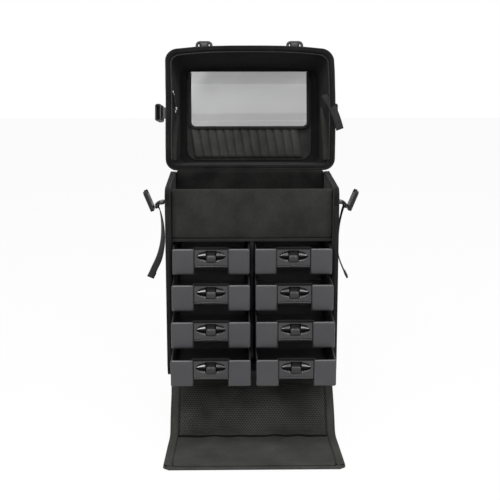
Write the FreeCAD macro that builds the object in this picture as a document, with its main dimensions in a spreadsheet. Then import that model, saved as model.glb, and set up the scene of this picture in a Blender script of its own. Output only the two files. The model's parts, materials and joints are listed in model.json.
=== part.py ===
import FreeCAD, Part
import math
import os
import re
import Sketcher
from FreeCAD import Placement, Rotation, Vector

# A soft-sided makeup train case, open: lid folded back, front flap down, drawers pulled out as stairs.
# Frame: millimetres, +Z up, the front faces -Y, the origin is on the floor under the middle of the case.

DRIVING_DIMENSIONS = {
    # Padded body
    "case_width": 345, "case_depth": 250, "rim_height": 494, "body_bottom": 104, "wall_thick": 10,
    "wall_corner": 16, "wall_round": 3.5, "seat_gap": 0.3, "board_thick": 8,
    "front_panel_y": -105, "front_panel_thick": 8, "sill_top": 133, "sill_thick": 14,
    # Drawer rack
    "rack_front": -100, "rack_depth": 208, "rack_skin": 2.5, "divider_thick": 8, "shelf_thick": 3,
    "rack_top_height": 383, "lap_gap": 0.2, "drawer_clearance": 0.4, "panel_drop": 4,
    # Drawers
    "drawer_width": 152.5, "drawer_depth": 205, "drawer_height": 51.7, "row_pitch": 63.5,
    "bottom_row": 134.8, "drawer_closed_y": -104, "apron_drop": 8, "drawer_skin": 2.3, "drawer_x": 81.85,
    "out_row_one": 43, "out_row_two": 84, "out_row_three": 124, "out_row_four": 165,
    "tray_corner": 7, "front_round": 2.1,
    # Drawer latch
    "latch_width": 67, "latch_recess": 10, "latch_rise": 3, "latch_gap": 0.5, "dish_width": 57,
    "dish_height": 21, "dish_depth": 8, "dish_slope": 4, "dish_level": 37, "lip_round": 9, "paddle_width": 19,
    "pivot_radius": 1.25, "pivot_depth": 4.2, "pivot_length": 56, "running_gap": 0.05, "groove_level": 17.4,
    "groove_height": 0.6, "groove_depth": 0.5, "paddle_thick": 2.4,
    # Moulded base with wheels and feet
    "base_width": 336, "base_depth": 246, "base_bottom": 24, "base_corner": 34, "base_skin": 4,
    "wheel_radius": 36, "wheel_half": 15, "tyre_inner": 26, "wheel_x": 147, "wheel_y": 88,
    "axle_radius": 4, "axle_cap": 3, "disc_inset": 3, "well_inner": 128, "well_front": 46, "well_roof": 78,
    "axle_wall": 12,
    "foot_x": 138, "foot_y": -96, "foot_radius": 17, "foot_corner": 13,
    # Pull handle on the back
    "tube_x": 62, "tube_y": 136, "tube_radius": 7, "sleeve_half": 9, "sleeve_bottom": 56,
    "bezel_bottom": 420, "bezel_top": 440, "bezel_half": 88, "bezel_depth": 22, "bezel_bevel": 3,
    "grip_height": 26, "grip_half": 76, "grip_bar": 14, "grip_leg": 28, "grip_shoulder": 8, "grip_bevel": 4,
    "grip_inset": 1, "button_width": 24, "button_depth": 10, "button_height": 6, "button_bevel": 1.5,
    "button_gap": 0.4, "button_well": 7, "rail_half": 76, "rail_reach": 13, "rail_height": 40,
    "rail_floor": 6, "tube_lift": 10, "tube_rise": 8,
    # Lid, drawn closed about its hinge line and then opened
    "hinge_y": 125, "hinge_height": 496, "lid_open": 103, "lid_rim_width": 364, "lid_rim_depth": 264,
    "lid_top_width": 324, "lid_top_depth": 224, "lid_back_lean": 16, "lid_height": 110, "lid_skin": 8,
    "shoulder_width": 329, "shoulder_front": 244, "shoulder_back": 14, "hinge_gap": 0.5,
    "lid_corner": 38, "lid_bevel": 11,
    "brush_panel_width": 284, "brush_panel_length": 200, "brush_panel_start": 28, "brush_panel_thick": 3,
    "brush_panel_corner": 24,
    "slots_width": 256, "slots_length": 68, "slots_start": 34, "slot_count": 13, "slot_bulge": 5,
    "window_width": 266, "window_length": 126, "window_end": 229, "window_thick": 1.2,
    "binding_width": 7, "binding_thick": 2.6, "binding_gap": 0.4, "window_lift": 9,
    "window_corner": 14,
    "buckle_width": 38, "buckle_thick": 14, "buckle_length": 30, "buckle_skin": 3, "buckle_window": 8,
    "buckle_rise": 6, "buckle_gap": 0.4, "front_buckle_x": 100, "side_buckle_reach": 126,
    "buckle_stand_off": 14, "keeper_length": 13, "keeper_rise": 20, "keeper_inset": 2,
    "carry_half": 74, "carry_rise": 26, "carry_width": 30, "carry_thick": 7, "carry_foot": 16,
    "carry_foot_thick": 3, "carry_lean": 8,
    "pull_width": 6, "pull_length": 34, "pull_thick": 1.6,
    # Front flap
    "flap_hinge_y": -125.5, "flap_hinge_height": 102, "flap_fold_y": -205, "flap_end_y": -351,
    "flap_thick": 7, "flap_near_width": 322, "flap_far_width": 338, "flap_strip": 15, "mesh_thick": 2.5,
    "strip_thick": 3, "floor_gap": 0.6, "mesh_start": 14, "strip_start": 8, "mesh_margin": 6, "mesh_flare": 2,
    # Side straps
    "strap_width": 25, "strap_thick": 2, "strap_height": 447, "strap_reach": 27, "strap_drop": 165,
    "strap_gap": 0.8,
    "strap_kick": 26, "plug_length": 44, "plug_width": 34, "plug_thick": 8, "plug_tilt": 22,
    "prong_width": 7, "guide_half": 4, "plug_slot_low": 4, "plug_slot_high": 9, "plug_round": 1.5,
    "plug_drop": 18, "plug_gap": 4.5,
}

doc = FreeCAD.newDocument("makeup_train_case")
sheet = doc.addObject("Spreadsheet::Sheet", "dims")
for row_number, (alias, size) in enumerate(DRIVING_DIMENSIONS.items(), 1):
    sheet.set(f"A{row_number}", alias)
    sheet.set(f"B{row_number}", str(size))
    sheet.setAlias(f"B{row_number}", alias)
doc.recompute()

subparts = []


# Expressions

def bound(text):
    """Turn plain dimension names in a formula into references to the sheet."""
    def reference(match):
        word = match.group(0)
        return f"dims.{word}" if word in DRIVING_DIMENSIONS else word
    return re.sub(r"[a-z_]+", reference, str(text))


def value(text):
    """The number that a formula of dimension names gives."""
    return float(sheet.evalExpression(bound(text)))


def drive(thing, prop, text):
    thing.setExpression(prop, bound(text))


def move_to(thing, place):
    for letter, text in zip("xyz", place):
        drive(thing, f"Placement.Base.{letter}", text)


# Sketches and features

def new_body(label, place=()):
    body = doc.addObject("PartDesign::Body", label)
    body.Label = label
    move_to(body, place)
    return body


def keep(part):
    subparts.append(part)
    return part


def origin_feature(body, role):
    return next(feature for feature in body.Origin.OriginFeatures if feature.Role == role)


def new_sketch(body, plane, lift="0"):
    sketch = body.newObject("Sketcher::SketchObject", f"{body.Name}_sketch")
    sketch.AttachmentSupport = (origin_feature(body, plane), [""])
    sketch.MapMode = "FlatFace"
    drive(sketch, "AttachmentOffset.Base.z", lift)
    return sketch


def hold_point(sketch, line, end, point):
    """Tie one end of a line to the sketch's origin by two formulas."""
    for kind, axis, text in (("DistanceX", -2, point[0]), ("DistanceY", -1, point[1])):
        if text == "0":
            sketch.addConstraint(Sketcher.Constraint("PointOnObject", line, end, axis))
            continue
        number = sketch.addConstraint(Sketcher.Constraint(kind, -1, 1, line, end, value(text)))
        drive(sketch, f"Constraints[{number}]", text)


def draw_outline(sketch, points):
    """A closed outline of straight lines whose corners follow formulas."""
    spots = [Vector(value(x), value(y), 0) for x, y in points]
    first = sketch.GeometryCount
    count = len(points)
    for index in range(count):
        sketch.addGeometry(Part.LineSegment(spots[index], spots[(index + 1) % count]))
    for index in range(count):
        following = first + (index + 1) % count
        sketch.addConstraint(Sketcher.Constraint("Coincident", first + index, 2, following, 1))
    for index, point in enumerate(points):
        hold_point(sketch, first + index, 1, point)


def rectangle(x_low, x_high, y_low, y_high):
    return [(x_low, y_low), (x_high, y_low), (x_high, y_high), (x_low, y_high)]


def draw_circle(sketch, centre, radius):
    spot = Vector(value(centre[0]), value(centre[1]), 0)
    number = sketch.addGeometry(Part.Circle(spot, Vector(0, 0, 1), value(radius)))
    hold_point(sketch, number, 3, centre)
    size = sketch.addConstraint(Sketcher.Constraint("Radius", number, value(radius)))
    drive(sketch, f"Constraints[{size}]", radius)


OVAL_SIDES = 12
PIVOT_SIDES = 8
CORNER_STEPS = 3


def oval(width, height, centre, sides=OVAL_SIDES):
    """An oval of short straight sides about a centre."""
    points = []
    for index in range(sides):
        turn = 2 * math.pi * (index + 0.5) / sides
        points.append((f"{centre[0]} + ({math.cos(turn):.5f}) * ({width}) / 2",
                       f"{centre[1]} + ({math.sin(turn):.5f}) * ({height}) / 2"))
    return points


def soft_rectangle(width, front, back, corner):
    """A rectangle about the upright axis whose corners are turned in a few short steps."""
    half = f"({width}) / 2 - ({corner})"
    centres = [(half, f"{front} + {corner}"), (half, f"{back} - ({corner})"),
               (f"-({half})", f"{back} - ({corner})"), (f"-({half})", f"{front} + {corner}")]
    points = []
    for quarter, (x, y) in enumerate(centres):
        for step in range(CORNER_STEPS + 1):
            turn = math.pi / 2 * (quarter - 1 + step / CORNER_STEPS)
            points.append((f"{x} + ({math.cos(turn):.5f}) * ({corner})",
                           f"{y} + ({math.sin(turn):.5f}) * ({corner})"))
    return points


def feature(body, kind, sketch, length, reverse=False, symmetric=False):
    """A Pad or Pocket of a sketch, with its length bound to a formula."""
    step = body.newObject(f"PartDesign::{kind}", f"{body.Name}_{kind.lower()}")
    step.Profile = sketch
    step.Reversed = reverse
    if symmetric:
        step.SideType = "Symmetric"
    drive(step, "Length", length)
    doc.recompute()
    return step


def pad(body, plane, outlines, length, lift="0", reverse=False, symmetric=False):
    sketch = new_sketch(body, plane, lift)
    for outline in outlines:
        draw_outline(sketch, outline)
    return feature(body, "Pad", sketch, length, reverse, symmetric)


def pocket(body, plane, outlines, length, lift="0", reverse=False, symmetric=False):
    """Cut the outlines out of the body, and fail if the cut removed nothing."""
    before = body.Tip.Shape.Volume
    sketch = new_sketch(body, plane, lift)
    for outline in outlines:
        draw_outline(sketch, outline)
    step = feature(body, "Pocket", sketch, length, reverse, symmetric)
    if step.Shape.Volume >= before:
        raise RuntimeError(f"{body.Label}: a pocket cut nothing")
    return step


def loft(body, kind, sections):
    step = body.newObject(f"PartDesign::{kind}", f"{body.Name}_{kind.lower()}")
    step.Profile = sections[0]
    step.Sections = sections[1:]
    step.Ruled = True
    doc.recompute()
    return step


def dress_edges(body, kind, prop, size, chosen):
    """Fillet or chamfer the edges of the body's last feature that the test picks."""
    base = body.Tip
    names = [f"Edge{number}" for number, edge in enumerate(base.Shape.Edges, 1) if chosen(edge)]
    if not names:
        raise RuntimeError(f"{body.Label}: no edge to dress")
    step = body.newObject(f"PartDesign::{kind}", f"{body.Name}_{kind.lower()}")
    step.Base = (base, names)
    drive(step, prop, size)
    doc.recompute()
    return step


def round_edges(body, radius, chosen):
    return dress_edges(body, "Fillet", "Radius", radius, chosen)


def bevel_edges(body, size, chosen):
    return dress_edges(body, "Chamfer", "Size", size, chosen)


def runs_along(edge, axis):
    """True for a straight edge parallel to axis x, y or z."""
    if not isinstance(edge.Curve, Part.Line):
        return False
    return abs(abs(getattr(edge.Curve.Direction, axis)) - 1) < 1e-6


def near(edge, axis, place):
    return abs(getattr(edge.CenterOfMass, axis) - place) < 0.05


def cut_cylinder(body, plane, radius, length, centre, lift):
    """A round hole along the normal of one of the body's planes."""
    before = body.Tip.Shape.Volume
    hole = body.newObject("PartDesign::SubtractiveCylinder", f"{body.Name}_hole")
    hole.AttachmentSupport = (origin_feature(body, plane), [""])
    hole.MapMode = "FlatFace"
    for letter, text in zip("xyz", (*centre, lift)):
        drive(hole, f"AttachmentOffset.Base.{letter}", text)
    drive(hole, "Radius", radius)
    drive(hole, "Height", length)
    doc.recompute()
    if hole.Shape.Volume >= before:
        raise RuntimeError(f"{body.Label}: a hole cut nothing")
    return hole


def box(name, size, place=()):
    block = doc.addObject("Part::Box", name)
    for prop, text in zip(("Length", "Width", "Height"), size):
        drive(block, prop, text)
    move_to(block, place)
    return block


def cylinder(name, radius, length, place, axis):
    rod = doc.addObject("Part::Cylinder", name)
    drive(rod, "Radius", radius)
    drive(rod, "Height", length)
    rod.Placement = Placement(Vector(), Rotation(Vector(0, 0, 1), axis))
    move_to(rod, place)
    return rod


def group(label, pieces):
    """One sub-part made of several separate solids."""
    bundle = doc.addObject("Part::Compound", label)
    bundle.Label = label
    bundle.Links = pieces
    return keep(bundle)


def fuse(name, pieces):
    joined = doc.addObject("Part::MultiFuse", name)
    joined.Shapes = pieces
    return joined


# Padded body

def side_wall(label, side):
    """A padded side wall: a rounded panel with soft edges."""
    x = "-case_width / 2" if side < 0 else "case_width / 2 - wall_thick"
    wall = keep(new_body(label, (x, "0", "0")))
    outline = soft_rectangle("case_depth", "body_bottom", "rim_height", "wall_corner")
    pad(wall, "YZ_Plane", [outline], "wall_thick")
    outer_x = 0 if side < 0 else value("wall_thick")
    bevel_edges(wall, "wall_round", lambda edge: near(edge, "x", outer_x))


def padded_panel(label, width, low, high, thick, y, corner):
    """An upright padded panel across the case."""
    panel = keep(new_body(label, ("0", y, "0")))
    pad(panel, "XZ_Plane", [rectangle(f"-({width}) / 2", f"({width}) / 2", low, high)], thick, reverse=True)
    bevel_edges(panel, corner, lambda edge: runs_along(edge, "y"))


def padded_body():
    side_wall("left_side_wall", -1)
    side_wall("right_side_wall", 1)
    inner_width = "case_width - 2 * wall_thick - 2 * seat_gap"
    padded_panel("back_wall", inner_width, "body_bottom", "rim_height", "wall_thick",
                 "case_depth / 2 - wall_thick", "wall_round")
    padded_panel("front_panel", inner_width, "rack_top_height + 2 * shelf_thick", "rim_height - panel_drop",
                 "front_panel_thick", "front_panel_y", "wall_round")
    padded_panel("front_sill", inner_width, "body_bottom + board_thick + seat_gap", "sill_top", "sill_thick",
                 "flap_hinge_y + 2", "wall_round")
    board = keep(new_body("bottom_board", ("0", "0", "body_bottom")))
    depth_front = "flap_hinge_y + 2"
    depth_back = "case_depth / 2 - wall_thick - seat_gap"
    half = f"({inner_width}) / 2"
    pad(board, "XY_Plane", [rectangle(f"-{half}", half, depth_front, depth_back)], "board_thick")


# Drawer rack: two sides, a divider and cross-lapped shelves under a top board

ROWS = ("one", "two", "three", "four")
ROW_COUNT = len(ROWS)
SHELF_LEVEL = "bottom_row + apron_drop - drawer_clearance - shelf_thick"


def shelf_level(step):
    return f"{SHELF_LEVEL} + {step} * row_pitch"


def drawer_rack():
    half = "(case_width / 2 - wall_thick - seat_gap)"
    floor = "body_bottom + board_thick"
    height = f"rack_top_height - ({floor})"
    left = box("rack_left", ("rack_skin", "rack_depth", height), (f"-{half}", "rack_front", floor))
    right = box("rack_right", ("rack_skin", "rack_depth", height),
                (f"{half} - rack_skin", "rack_front", floor))
    group("rack_sides", [left, right])

    divider = keep(new_body("rack_divider"))
    back = "rack_front + rack_depth"
    middle = "rack_front + rack_depth / 2"
    pad(divider, "YZ_Plane", [rectangle("rack_front", back, floor, "rack_top_height")], "divider_thick",
        symmetric=True)
    slots = [rectangle(middle, f"{back} + 1", f"{shelf_level(step)} - lap_gap",
                       f"{shelf_level(step)} + shelf_thick + lap_gap") for step in range(ROW_COUNT)]
    pocket(divider, "YZ_Plane", slots, "2 * divider_thick", symmetric=True)
    round_edges(divider, "divider_thick / 4", lambda edge: near(edge, "y", value("rack_front"))
                and runs_along(edge, "z"))

    shelves = []
    inner = f"({half} - rack_skin)"
    for step in range(ROW_COUNT):
        level = shelf_level(step)
        plate = box(f"shelf_plate_{step}", (f"2 * {inner}", "rack_depth", "shelf_thick"),
                    (f"-{inner}", "rack_front", level))
        notch = box(f"shelf_notch_{step}",
                    ("divider_thick + 2 * lap_gap", "rack_depth / 2 + 1", "3 * shelf_thick"),
                    ("-divider_thick / 2 - lap_gap", "rack_front - 1", f"{level} - shelf_thick"))
        shelf = doc.addObject("Part::Cut", f"shelf_{step}")
        shelf.Base = plate
        shelf.Tool = notch
        shelves.append(shelf)
    group("rack_shelves", shelves)

    top = keep(new_body("rack_top", ("0", "0", "rack_top_height")))
    top_back = "case_depth / 2 - wall_thick - seat_gap"
    pad(top, "XY_Plane", [rectangle(f"-{half}", half, "front_panel_y", top_back)], "2 * shelf_thick")


# Drawers

def drawer_tray(label, place):
    """Open moulded tray with two front aprons and a bay for the latch plate."""
    tray = keep(new_body(label, place))
    half = "drawer_width / 2"
    bay = "(latch_width / 2 + latch_gap)"
    inner = f"({half} - drawer_skin)"
    pad(tray, "XY_Plane", [rectangle(f"-{half}", half, "0", "drawer_depth")], "drawer_height - apron_drop",
        lift="apron_drop")
    bevel_edges(tray, "tray_corner", lambda edge: runs_along(edge, "z")
                and near(edge, "y", value("drawer_depth")))
    boss = f"({bay} + drawer_skin)"
    boss_back = "latch_recess + drawer_skin"
    back = "(drawer_depth - drawer_skin)"
    bend = "(tray_corner - 0.6 * drawer_skin)"
    cavity = [(f"-{inner}", "drawer_skin"), (f"-{boss}", "drawer_skin"), (f"-{boss}", boss_back),
              (boss, boss_back), (boss, "drawer_skin"), (inner, "drawer_skin"), (inner, f"{back} - {bend}"),
              (f"{inner} - {bend}", back), (f"-{inner} + {bend}", back), (f"-{inner}", f"{back} - {bend}")]
    pocket(tray, "XY_Plane", [cavity], "drawer_height", lift="apron_drop + drawer_skin", reverse=True)
    pocket(tray, "XY_Plane", [rectangle(f"-{bay}", bay, "-1", "latch_recess")], "drawer_height",
           lift="apron_drop", reverse=True)
    pad(tray, "XZ_Plane", [rectangle(f"-{half}", f"-{bay}", "0", "apron_drop + 0.5"),
                           rectangle(bay, half, "0", "apron_drop + 0.5")], "drawer_skin", reverse=True)
    round_edges(tray, "front_round", lambda edge: near(edge, "y", 0) and runs_along(edge, "z")
                and abs(abs(edge.CenterOfMass.x) - value(half)) < 0.05)


def latch_plate(label, place):
    """Plate with a dished finger recess, a slot and pivot seats for the lever, and a curved-in lip."""
    plate = keep(new_body(label, place))
    low = "apron_drop + latch_gap"
    high = "drawer_height + latch_rise"
    pad(plate, "YZ_Plane", [rectangle("0", "latch_recess", low, high)], "latch_width", symmetric=True)
    round_edges(plate, "lip_round", lambda edge: runs_along(edge, "x") and near(edge, "y", 0)
                and near(edge, "z", value(low)))
    floor = oval("dish_width - 2 * dish_slope", "dish_height - 2 * dish_slope", ("0", "dish_level"))
    pocket(plate, "XZ_Plane", [floor], "dish_depth")
    rim_reach = value("dish_width / 2 - dish_slope")
    rim_rise = value("dish_height / 2 - dish_slope")
    bevel_edges(plate, "dish_slope", lambda edge: near(edge, "y", 0)
                and abs(edge.CenterOfMass.x) < rim_reach + 0.1
                and abs(edge.CenterOfMass.z - value("dish_level")) < rim_rise + 0.1)
    slot_half = "(paddle_width / 2 + latch_gap)"
    pocket(plate, "XZ_Plane", [rectangle(f"-{slot_half}", slot_half, "dish_level - dish_height / 2 + 1",
                                         "dish_level + dish_height / 2")], "2 * latch_recess")
    groove = rectangle("-latch_width", "latch_width", "groove_level", "groove_level + groove_height")
    pocket(plate, "XZ_Plane", [groove], "groove_depth")
    seat = f"2 * (pivot_radius + running_gap) / {math.cos(math.pi / PIVOT_SIDES):.5f}"
    pivot_seat = oval(seat, seat, ("pivot_depth", "dish_level"), PIVOT_SIDES)
    pocket(plate, "YZ_Plane", [pivot_seat], "pivot_length + latch_gap", symmetric=True)


def latch_lever(label, place):
    """Rocking paddle on a thin pivot rod: its lower end is pulled to let the drawer go."""
    lever = keep(new_body(label, place))
    top = "dish_level + dish_height / 2 - 1.5"
    foot = "dish_level - dish_height / 2 - 1.6"
    profile = [("pivot_depth - 2", top), ("pivot_depth + 0.4", top),
               ("pivot_depth + 1.6", "dish_level + 1.6"), ("pivot_depth + 1.6", "dish_level - 0.8"),
               ("-latch_gap", "dish_level - dish_height / 2 + 2"), ("-latch_gap", foot),
               ("-latch_gap - paddle_thick", foot),
               ("-latch_gap - paddle_thick", "dish_level - dish_height / 2 + 2.6"),
               ("pivot_depth - 1.9", "dish_level - 0.4")]
    pad(lever, "YZ_Plane", [profile], "paddle_width", symmetric=True)
    sketch = new_sketch(lever, "YZ_Plane")
    draw_circle(sketch, ("pivot_depth", "dish_level"), "pivot_radius")
    feature(lever, "Pad", sketch, "pivot_length", symmetric=True)


def drawers():
    for number, word in enumerate(ROWS):
        for side, sign in (("left", "-"), ("right", "")):
            place = (f"{sign}drawer_x", f"drawer_closed_y - out_row_{word}",
                     f"bottom_row + {ROW_COUNT - 1 - number} * row_pitch")
            drawer_tray(f"{side}_drawer_{number + 1}_tray", place)
            latch_plate(f"{side}_drawer_{number + 1}_latch_plate", place)
            latch_lever(f"{side}_drawer_{number + 1}_latch_lever", place)


# Moulded base, feet, wheels

def base_tray():
    """Moulded tub with a wheel well in each back corner and a rail that seats the pull handle."""
    base = keep(new_body("base_tray"))
    half = "base_width / 2"
    back = "base_depth / 2"
    pad(base, "XY_Plane", [soft_rectangle("base_width", f"-{back}", back, "base_corner")],
        "body_bottom - seat_gap - base_bottom", lift="base_bottom")
    bevel_edges(base, "base_corner / 4", lambda edge: near(edge, "z", value("base_bottom")))
    inner = f"({half} - base_skin)"
    rear = "(well_inner - axle_wall)"
    bend = "(base_corner - base_skin)"
    low = f"-{back} + base_skin"
    hollow = [(f"-{inner}", f"{low} + {bend}"), (f"-{inner} + {bend}", low), (f"{inner} - {bend}", low),
              (inner, f"{low} + {bend}"), (inner, "well_front - base_skin"), (rear, "well_front - base_skin"),
              (rear, f"{back} - base_skin"), (f"-{rear}", f"{back} - base_skin"),
              (f"-{rear}", "well_front - base_skin"), (f"-{inner}", "well_front - base_skin")]
    pocket(base, "XY_Plane", [hollow], "body_bottom", lift="base_bottom + base_skin", reverse=True)
    wells = [rectangle("well_inner", f"{half} + 1", "well_front", f"{back} + 1"),
             rectangle(f"-{half} - 1", "-well_inner", "well_front", f"{back} + 1")]
    pocket(base, "XY_Plane", wells, "well_roof", reverse=True)
    rail = rectangle("-rail_half", "rail_half", f"{back} - 1", "tube_y + rail_reach")
    pad(base, "XY_Plane", [rail], "rail_height", lift="sleeve_bottom - rail_floor")
    seat = "(sleeve_half + running_gap)"
    seats = [rectangle(f"{sign}tube_x - {seat}", f"{sign}tube_x + {seat}", f"tube_y - {seat}",
                       f"tube_y + {seat}") for sign in ("", "-")]
    pocket(base, "XY_Plane", seats, "rail_height", lift="sleeve_bottom", reverse=True)
    for axle_start in ("well_inner - axle_wall - 1", "-well_inner - 1"):
        cut_cylinder(base, "YZ_Plane", "axle_radius + running_gap", "axle_wall + 2",
                     ("wheel_y", "wheel_radius"), axle_start)


def feet_and_axles():
    feet = []
    axles = []
    for name, sign, axis in (("left", "-", Vector(-1, 0, 0)), ("right", "", Vector(1, 0, 0))):
        foot = new_body(f"{name}_foot", (f"{sign}foot_x", "foot_y", "0"))
        outline = soft_rectangle("2 * foot_radius", "-foot_radius", "foot_radius", "foot_corner")
        pad(foot, "XY_Plane", [outline], "base_bottom")
        feet.append(foot)
        start = "well_inner - axle_wall"
        cap_start = "wheel_x + wheel_half - disc_inset + 1"
        rod = cylinder(f"{name}_axle_rod", "axle_radius", f"{cap_start} + axle_cap - ({start})",
                       (f"{sign}({start})", "wheel_y", "wheel_radius"), axis)
        cap = cylinder(f"{name}_axle_cap", "axle_radius + axle_cap", "axle_cap",
                       (f"{sign}({cap_start})", "wheel_y", "wheel_radius"), axis)
        axles.append(fuse(f"{name}_axle", [rod, cap]))
    group("front_feet", feet)
    group("wheel_axles", axles)


def wheel(label, sign):
    """Solid wheel turned about its axle, with a recessed disc inside the tyre on its outer face."""
    part = keep(new_body(label, (f"{sign}wheel_x", "wheel_y", "wheel_radius")))
    bore = "axle_radius + running_gap"
    face = f"{sign}(wheel_half)"
    disc = f"{sign}(wheel_half - disc_inset)"
    back = f"-{face}"
    section = [(disc, bore), (disc, "tyre_inner"), (face, "tyre_inner"), (face, "wheel_radius"),
               (back, "wheel_radius"), (back, bore)]
    sketch = new_sketch(part, "XZ_Plane")
    draw_outline(sketch, section)
    turn = part.newObject("PartDesign::Revolution", f"{label}_turn")
    turn.Profile = sketch
    turn.ReferenceAxis = (origin_feature(part, "X_Axis"), [""])
    turn.Angle = 360
    doc.recompute()


# Pull handle

def pull_handle():
    sleeves = []
    tubes = []
    for name, sign in (("left", "-"), ("right", "")):
        outer = box(f"{name}_sleeve_outer",
                    ("2 * sleeve_half", "2 * sleeve_half", "bezel_bottom - sleeve_bottom"),
                    (f"{sign}tube_x - sleeve_half", "tube_y - sleeve_half", "sleeve_bottom"))
        bore = cylinder(f"{name}_sleeve_bore", "tube_radius + 2 * running_gap", "bezel_bottom",
                        (f"{sign}tube_x", "tube_y", "sleeve_bottom - 1"), Vector(0, 0, 1))
        sleeve = doc.addObject("Part::Cut", f"{name}_sleeve")
        sleeve.Base = outer
        sleeve.Tool = bore
        sleeves.append(sleeve)
        tube_length = "bezel_top + tube_rise - sleeve_bottom - tube_lift"
        tubes.append(cylinder(f"{name}_tube", "tube_radius", tube_length,
                              (f"{sign}tube_x", "tube_y", "sleeve_bottom + tube_lift"), Vector(0, 0, 1)))
    group("handle_sleeves", sleeves)
    group("handle_tubes", tubes)

    back = "case_depth / 2"
    bezel = keep(new_body("handle_bezel", ("0", f"{back} + seat_gap", "bezel_bottom")))
    pad(bezel, "XY_Plane", [rectangle("-bezel_half", "bezel_half", "0", "bezel_depth")],
        "bezel_top - bezel_bottom")
    for sign in ("", "-"):
        cut_cylinder(bezel, "XY_Plane", "tube_radius + 2 * running_gap", "3 * bezel_depth",
                     (f"{sign}tube_x", f"tube_y - {back} - seat_gap"), "-bezel_depth")
    bevel_edges(bezel, "bezel_bevel", lambda edge: near(edge, "y", value("bezel_depth")))

    grip = keep(new_body("handle_grip", ("0", f"{back} + 2 * seat_gap + grip_inset", "bezel_top + seat_gap")))
    under = "grip_height - grip_bar"
    leg = "(grip_half - grip_leg)"
    outline = [("-grip_half", "0"), (f"-{leg}", "0"), (f"-{leg}", under), (leg, under), (leg, "0"),
               ("grip_half", "0"), ("grip_half", "grip_height"), ("-grip_half", "grip_height")]
    grip_depth = "bezel_depth - 2 * grip_inset"
    pad(grip, "XZ_Plane", [outline], grip_depth, reverse=True)
    for size, level in (("grip_shoulder", "grip_height"), ("grip_bevel", under)):
        bevel_edges(grip, size, lambda edge, z=value(level): runs_along(edge, "y") and near(edge, "z", z))
    middle = f"tube_y - {back} - 2 * seat_gap - grip_inset"
    for sign in ("", "-"):
        cut_cylinder(grip, "XY_Plane", "tube_radius + running_gap", "tube_lift + tube_rise",
                     (f"{sign}tube_x", middle), "-tube_lift")
    button_half = "(button_width / 2 + button_gap)"
    well = "(button_depth / 2 + button_gap)"
    pocket(grip, "XY_Plane", [rectangle(f"-{button_half}", button_half, f"({grip_depth}) / 2 - {well}",
                                        f"({grip_depth}) / 2 + {well}")], "button_well", lift="grip_height")

    button = keep(new_body("handle_button", ("0", f"{back} + 2 * seat_gap + grip_inset + ({grip_depth}) / 2",
                                             "bezel_top + seat_gap + grip_height - 2 * button_height / 3")))
    pad(button, "XY_Plane", [rectangle("-button_width / 2", "button_width / 2", "-button_depth / 2",
                                       "button_depth / 2")], "button_height")
    bevel_edges(button, "button_bevel", lambda edge: near(edge, "z", value("button_height")))


# Lid: every piece is drawn closed, with the hinge line as its origin, and opened together

def open_lid(part):
    part.Placement = Placement(Vector(), Rotation(Vector(-1, 0, 0), value("lid_open")))
    move_to(part, ("0", "hinge_y", "hinge_height"))
    drive(part, "Placement.Rotation.Angle", "lid_open")
    return part


def soft_section(body, width, front, back, corner, lift):
    """One section of the lid's loft."""
    sketch = new_sketch(body, "XY_Plane", lift)
    draw_outline(sketch, soft_rectangle(width, front, back, corner))
    return sketch


def lid_shell():
    """Soft lid: a hollow cap whose walls flare out to the open rim."""
    lid = keep(open_lid(new_body("lid_shell")))
    rim = soft_section(lid, "lid_rim_width", "-lid_rim_depth", "-hinge_gap", "lid_corner", "0")
    shoulder = soft_section(lid, "shoulder_width", "-shoulder_front", "-shoulder_back", "lid_corner",
                            "lid_height - lid_bevel")
    crown = soft_section(lid, "lid_top_width - 2 * lid_bevel", "-lid_top_depth - lid_back_lean + lid_bevel",
                         "-lid_back_lean - lid_bevel", "lid_corner - lid_bevel / 2", "lid_height")
    loft(lid, "AdditiveLoft", [rim, shoulder, crown])
    inner_rim = soft_section(lid, "lid_rim_width - 2 * lid_skin", "-lid_rim_depth + lid_skin",
                             "-lid_skin - hinge_gap", "lid_corner - lid_skin", "0")
    inner_top = soft_section(lid, "lid_top_width - 2 * lid_skin", "-lid_top_depth - lid_back_lean + lid_skin",
                             "-lid_back_lean - lid_skin", "lid_corner - lid_skin", "lid_height - lid_skin")
    loft(lid, "SubtractiveLoft", [inner_rim, inner_top])


CEILING = "lid_height - lid_skin"


def brush_holder():
    """Lining panel and a row of pleated slots on the inside of the lid's top."""
    panel = keep(open_lid(new_body("brush_panel")))
    reach = "brush_panel_start + brush_panel_length"
    outline = soft_rectangle("brush_panel_width", f"-({reach})", "-brush_panel_start", "brush_panel_corner")
    pad(panel, "XY_Plane", [outline], "brush_panel_thick", lift=f"{CEILING} - brush_panel_thick")

    slots = keep(open_lid(new_body("brush_slots")))
    count = int(value("slot_count"))
    seat = f"{CEILING} - brush_panel_thick"
    edge = f"{seat} - 1"
    outline = [("slots_width / 2", seat), ("-slots_width / 2", seat)]
    for index in range(count):
        start = f"slots_width * {index / count - 0.5:.5f}"
        outline.append((start, edge))
        for share, rise in ((0.25, 0.75), (0.5, 1), (0.75, 0.75)):
            outline.append((f"{start} + slots_width * {share / count:.5f}", f"{edge} - {rise} * slot_bulge"))
    outline.append(("slots_width / 2", edge))
    pad(slots, "XZ_Plane", [outline], "slots_length", lift="slots_start")


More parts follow.
